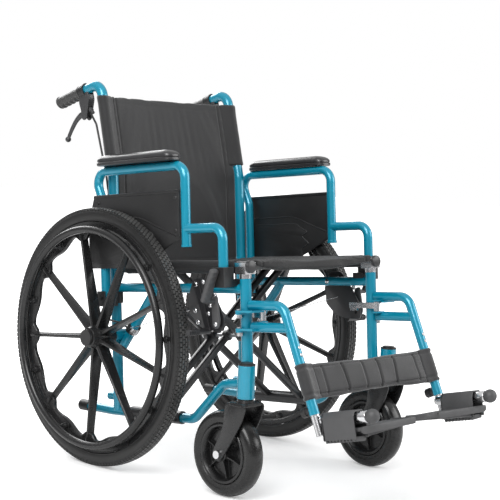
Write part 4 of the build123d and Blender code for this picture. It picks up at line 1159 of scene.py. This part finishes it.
def build_brake_lever(side):
    """Bent arm from the pivot, a cross rod, and a flat finger-grooved paddle."""
    y, z = BRAKE_PIVOT
    arm = [(y + 11, z - 4), (y + 13, z + 58), (y - 4, z + 63), (y - 12, z + 4), (y - 6, z - 10),
           (y + 6, z - 10)]
    shell = Shell()
    shell.prism(on_side(241.4, rounded_outline(arm, 7, 4)), (5 * MM, 0, 0), 1.1 * MM)
    foot = Vector((274, y + 6, z + 48)) * MM
    top = Vector((274, y - 30, z + 122)) * MM
    shell.loft(lathe_rings(Vector((242, y + 4, z + 50)) * MM, (1, 0, 0), mm([(0, 5), (28, 5)]), 16))
    axis = (top - foot).normalized()
    across = Vector((1, 0, 0))
    thick = axis.cross(across)
    length = (top - foot).length
    rings = []
    for k in range(61):
        share = k / 60
        end = min(1.0, min(share, 1 - share) / 0.07)
        cap = math.sqrt(max(0.04, 1 - (1 - end) ** 2))
        wide = (10.8 + 1.4 * math.sin(math.pi * share)) * cap
        groove_depth = 0.9 * (0.5 + 0.5 * math.cos(2 * math.pi * share * 7))
        deep = (7.2 - groove_depth) * cap
        spot = foot + axis * (length * share)
        ring = []
        for i in range(28):
            turn = 2 * math.pi * i / 28
            c, d = math.cos(turn), math.sin(turn)
            ring.append(spot + across * (wide * MM * math.copysign(abs(c) ** 0.6, c))
                        + thick * (deep * MM * math.copysign(abs(d) ** 0.7, d)))
        rings.append(ring)
    shell.loft(rings)
    fit(shell, side, "brake_paddle_{}", FOOT_PLASTIC, "brake_lever_{}", "brake_lever_{}", "foot_plastic")


def build_brake_bracket(side):
    """Saddle and pierced plate on the side tube, with its bright bolts."""
    shoe_y, shoe_z = SHOE_PIVOT
    y, z = BRAKE_PIVOT
    plate = [(shoe_y + 14, 136), (shoe_y + 30, 100), (shoe_y + 30, 58), (shoe_y - 2, 28), (y + 24, 20),
             (y - 12, 20), (y - 14, 52), (y + 8, 88), (shoe_y - 22, 136)]
    shell = Shell()
    shell.prism(on_side(231, rounded_outline(plate, 8, 4)), (4 * MM, 0, 0), 0.9 * MM)
    saddle = [(shoe_y - 16, 100), (shoe_y + 14, 100), (shoe_y + 14, 126), (shoe_y - 16, 126)]
    shell.prism(on_side(224.6, saddle), (6.6 * MM, 0, 0), 1.4 * MM)
    for py, pz in (SHOE_PIVOT, BRAKE_PIVOT):
        shell.loft(lathe_rings(Vector((231, py, pz)) * MM, (1, 0, 0), mm([(0, 4), (17, 4)]), 16))
    fit(shell, side, "brake_plate_{}", BLACK_METAL, "{}_side", "brake_bracket_{}", "black_metal")
    bolts = Shell()
    dome = [(0, 5.6), (0.8, 5.8), (2.4, 5.0), (3.6, 3.2), (4.0, 1.0)]
    spots = [(240.4, shoe_y, shoe_z), (246.8, y, z), (235, shoe_y - 18, 128), (235, -350, 97),
             (235, -333, 76), (235, -326, 58), (235, -284, 64), (235, -292, 38)]
    for x, by, bz in spots:
        bolts.loft(lathe_rings(Vector((x, by, bz)) * MM, (1, 0, 0), mm(dome), 20))
    inner = Vector((203.4, shoe_y, 113)) * MM
    bolts.loft(lathe_rings(inner, (-1, 0, 0), mm(dome), 20))
    fit(bolts, side, "brake_bolts_{}", PLATED, "{}_side", None, "bright_metal")


# ---------------------------------------------------------------- folding braces
LOWER_Z = -184 * MM
BRACE_PIVOT = Vector((0, 0, (RAIL_Z + LOWER_Z) / 2))
BRACE_BARS = {"left": (-193, -79), "right": (-144, -98)}
BRACE_BODY = {"left": "brace_b", "right": "brace_a"}


def build_brace(side):
    """Sleeve on this side's lower tube, two round-cornered bars, and the other side's plugged rail."""
    foot = Vector((SIDES[side] * SIDE_X, 0, LOWER_Z))
    head = Vector((-SIDES[side] * SIDE_X, 0, RAIL_Z))
    axis = (head - foot).normalized()
    across = axis.cross(Vector((0, 1, 0)))
    shell = Shell()
    sleeve = [(0, 11.2), (0, 14.6), (0.8, 15.2), (174.2, 15.2), (175, 14.6), (175, 11.2)]
    start = foot + Vector((0, -210 * MM, 0))
    shell.loft(lathe_rings(start, (0, 1, 0), mm(sleeve), 32), loop=True)
    eye = [(0, 12.0), (0.8, 12.8), (14.2, 12.8), (15, 12.0)]
    for y in BRACE_BARS[side]:
        start = foot + axis * (9 * MM)
        corners = [start + across * (a * MM) + Vector((0, (y + b) * MM, 0))
                   for a, b in ((-8.5, -6.5), (8.5, -6.5), (8.5, 6.5), (-8.5, 6.5))]
        shell.prism(corners, axis * ((head - foot).length - 18 * MM), 3 * MM, 3)
        centre = BRACE_PIVOT + Vector((0, (y - 7.5) * MM, 0))
        shell.loft(lathe_rings(centre, (0, 1, 0), mm(eye), 32))
    rail = [(-2, 10.6), (-1.2, 13.4), (0.4, 14.4), (7.4, 14.6), (8.0, 13.0), (8.2, 12.7), (421, 12.7),
            (423, 10.6)]
    start = head + Vector((0, -443 * MM, 0))
    shell.loft(lathe_rings(start, (0, 1, 0), mm(rail), 32))
    shell.place(f"folding_brace_{side}", BLACK_METAL, BRACE_BODY[side], [f"cross_brace_{side}"], 1, TILTED,
                material_slot="black_metal")


# ---------------------------------------------------------------- footrests
FOOT_PIVOT = Vector((206, -622, -161)) * MM
ON_FOOT = TILTED @ Matrix.Translation(FOOT_PIVOT) @ Matrix.Rotation(math.radians(-8), 4, "X")


def across_foot(y, points):
    """Points at one Y of the footplate axes from (x, z) millimetres."""
    return [Vector((x * MM, y * MM, z * MM)) for x, z in points]


def build_footplate(side):
    """Moulded plate: an open-fronted hinge box with a comb below, a thick lip and ribs underneath."""
    shell = Shell()
    wall = [(19, -42), (19.5, 5), (13, 15.5), (-13, 16), (-20, 3), (-24, -42)]
    inside = [(-20.6, -42), (-16.8, 2), (-11, 12.6), (11, 12.2), (16, 4), (15.6, -42)]
    shell.prism(across_foot(-108, wall + inside), (0, 88 * MM, 0), 1.3 * MM)
    bore = 13.4
    upper = [(bore * math.cos(a), bore * math.sin(a)) for a in spread(0.05, math.pi - 0.05, 14)]
    shell.prism(across_foot(-26, wall[1:5] + upper[::-1]), (0, 5 * MM, 0), 0.6 * MM)
    lower = [(bore * math.cos(a), bore * math.sin(a)) for a in spread(math.pi + 0.05, 2 * math.pi - 0.05, 14)]
    below = [wall[4], wall[5], wall[0], wall[1]] + lower[::-1]
    shell.prism(across_foot(-26, below), (0, 5 * MM, 0), 0.6 * MM)
    for k in range(9):
        fin = [(-23.5, -38), (18.6, -38), (17, -47), (-19, -49)]
        shell.prism(across_foot(-29 - 9 * k, fin), (0, 4.2 * MM, 0), 0.7 * MM)
    outline = [(-14, -22), (-158, -22), (-181, -44), (-182, -100), (-160, -121), (-4, -121), (8, -112),
               (8, -22)]
    plan = [Vector((p.x * MM, p.y * MM, -28 * MM)) for p in rounded_outline(outline, 14, 5)]
    shell.prism(plan, (0, 0, 7.6 * MM), 1.4 * MM)
    lip = [(-163, -31), (2, -34), (10, -29), (10, -19), (-165, -17)]
    shell.prism(across_foot(-122, rounded_outline(lip, 3, 3)), (0, 7 * MM, 0), 1.3 * MM)
    side_lip = [(-42, -31), (-101, -31), (-101, -17), (-42, -17)]
    rim = [Vector((-182 * MM, y * MM, z * MM)) for y, z in side_lip]
    shell.prism(rim, (5 * MM, 0, 0), 1.8 * MM)
    for k in range(6):
        rib = [(-24, -26), (-176, -26), (-170, -31), (-24, -41)]
        shell.prism(across_foot(-34 - 14 * k, rib), (0, 2.6 * MM, 0), 0.6 * MM)
        tread = [(-30, -21), (-172, -21), (-172, -19.4), (-30, -19.4)]
        shell.prism(across_foot(-38 - 14 * k, tread), (0, 3.4 * MM, 0), 0.6 * MM)
    fit(shell, side, "moulded_footplate_{}", FOOT_PLASTIC, "footplate_{}", "footplate_{}",
        "foot_plastic", ON_FOOT)


def build_pivot_knob(side):
    """Bright collar and large ball on the footplate's pivot."""
    collar = [(98, 12.2), (99, 12.8), (131, 12.8), (132, 12.2)]
    shell = Shell()
    shell.loft(lathe_rings((0, 0, 0), (0, -1, 0), mm(collar), 32))
    fit(shell, side, "pivot_collar_{}", PLATED, "footrest_{}", None, "bright_metal", ON_FOOT)
    ball = Shell()
    ball.loft(sphere_rings(Vector((0, -143 * MM, 0)), 15.4 * MM, 32))
    ball.loft(lathe_rings((0, 0, 0), (0, -1, 0), mm([(127, 9), (128, 11), (134, 12.6)]), 32))
    fit(ball, side, "pivot_ball_{}", FOOT_PLASTIC, "footrest_{}", None, "foot_plastic", ON_FOOT)


def build_hanger_buttons(side):
    """Spring button and locking holes on the sloping tube of the hanger."""
    shell = Shell()
    dome = [(-1, 4.0), (0.6, 4.0), (2.0, 2.8), (2.6, 0.8)]
    for down in (96, 112):
        spot = Vector((SIDE_X, 0, 0)) + HANGER_CORNER + SLOPE * (down * MM) + SLOPE_FRONT * (10.9 * MM)
        shell.loft(lathe_rings(spot, SLOPE_FRONT, mm(dome), 18))
    fit(shell, side, "spring_buttons_{}", PLATED, "hanger_{}", None, "bright_metal")


# ---------------------------------------------------------------- build
for side_name in SIDES:
    build_armrest_pad(side_name)
    build_guard(side_name)
    build_grip(side_name)
    build_hand_lever(side_name)
    build_lever_housing(side_name)
    build_brake_lever(side_name)
    build_brake_bracket(side_name)
    build_brace(side_name)
    build_footplate(side_name)
    build_hanger_buttons(side_name)
    build_pivot_knob(side_name)
    build_wheel(side_name)
    build_tyre(side_name)
    build_handrim(side_name)
    build_caster_wheel(side_name)
    build_caster_fork(side_name)
build_back()
build_seat()
build_calf_strap()


# ---------------------------------------------------------------- stage, light and camera
def make_stage():
    bpy.ops.mesh.primitive_plane_add(size=40)
    floor = bpy.context.object
    floor.name = "floor"
    n = Nodes("floor_white")
    away = n.add("ShaderNodeVectorMath", Vector=n.coords)
    away.operation = "LENGTH"
    seen = n.add("ShaderNodeLightPath").outputs["Is Camera Ray"]
    far = n.math("DIVIDE", away.outputs["Value"], 4.0)
    glow = n.math("MULTIPLY", n.ramp(far, 0.28, 1.0, 0.10, 0.42), seen)
    n.set(Base_Color=n.ramp(n.noise(1.5), tone(0.82, 0.82, 0.82), tone(0.85, 0.85, 0.85)), Roughness=0.7,
          Emission_Color=tone(1, 1, 1), Emission_Strength=glow)
    floor.data.materials.append(n.material)
    world = bpy.data.worlds.new("studio")
    bpy.context.scene.world = world
    world.use_nodes = True
    light_world(world.node_tree)
    bpy.context.scene.view_settings.view_transform = "Standard"


def light_world(tree):
    """White to the camera; otherwise bright overhead and dimmer towards the horizon."""
    sky = tree.nodes["Background"]
    coords = tree.nodes.new("ShaderNodeTexCoord")
    split = tree.nodes.new("ShaderNodeSeparateXYZ")
    ramp = tree.nodes.new("ShaderNodeValToRGB")
    ramp.color_ramp.elements[0].position = 0.0
    ramp.color_ramp.elements[0].color = (0.34, 0.34, 0.35, 1)
    ramp.color_ramp.elements[1].position = 0.75
    ramp.color_ramp.elements[1].color = (1.0, 1.0, 1.0, 1)
    plain = tree.nodes.new("ShaderNodeBackground")
    plain.inputs["Color"].default_value = (1, 1, 1, 1)
    mix = tree.nodes.new("ShaderNodeMixShader")
    path = tree.nodes.new("ShaderNodeLightPath")
    tree.links.new(coords.outputs["Generated"], split.inputs[0])
    tree.links.new(split.outputs["Z"], ramp.inputs["Fac"])
    tree.links.new(ramp.outputs["Color"], sky.inputs["Color"])
    sky.inputs["Strength"].default_value = 0.8
    tree.links.new(path.outputs["Is Camera Ray"], mix.inputs[0])
    tree.links.new(sky.outputs[0], mix.inputs[1])
    tree.links.new(plain.outputs[0], mix.inputs[2])
    tree.links.new(mix.outputs[0], tree.nodes["World Output"].inputs[0])


def area_light(name, place, size, watts):
    lamp = bpy.data.lights.new(name, "AREA")
    lamp.shape = "RECTANGLE"
    lamp.size, lamp.size_y = size
    lamp.energy = watts
    holder = bpy.data.objects.new(name, lamp)
    bpy.context.scene.collection.objects.link(holder)
    holder.location = place
    aim = Vector((0, 0, 0.45)) - Vector(place)
    holder.rotation_mode = "QUATERNION"
    holder.rotation_quaternion = aim.to_track_quat("-Z", "Y")


def make_camera():
    """Stands ahead of the chair's right corner, slightly above the seat, with a small roll."""
    azimuth, elevation, roll = (math.radians(a) for a in (-45.66, 3.83, 2.16))
    place = Vector((-2.2917, -2.2084, 0.7342))
    back = Vector((math.sin(azimuth) * math.cos(elevation),
                   -math.cos(azimuth) * math.cos(elevation), math.sin(elevation)))
    right = (-back).cross(Vector((0, 0, 1))).normalized()
    up = right.cross(-back)
    across = right * math.cos(roll) + up * math.sin(roll)
    upward = up * math.cos(roll) - right * math.sin(roll)
    data = bpy.data.cameras.new("camera")
    data.lens = 96.6
    data.sensor_width = 36.0
    camera = bpy.data.objects.new("camera", data)
    turn = Matrix((across, upward, back)).transposed()
    camera.matrix_world = Matrix.Translation(place) @ turn.to_4x4()
    bpy.context.scene.collection.objects.link(camera)
    bpy.context.scene.camera = camera


make_stage()
area_light("key", (-2.6, -1.2, 2.6), (2.2, 2.2), 110)
area_light("fill", (2.4, -2.6, 1.8), (2.4, 2.0), 60)
area_light("rim", (0.6, 3.0, 2.2), (2.4, 1.4), 60)
make_camera()
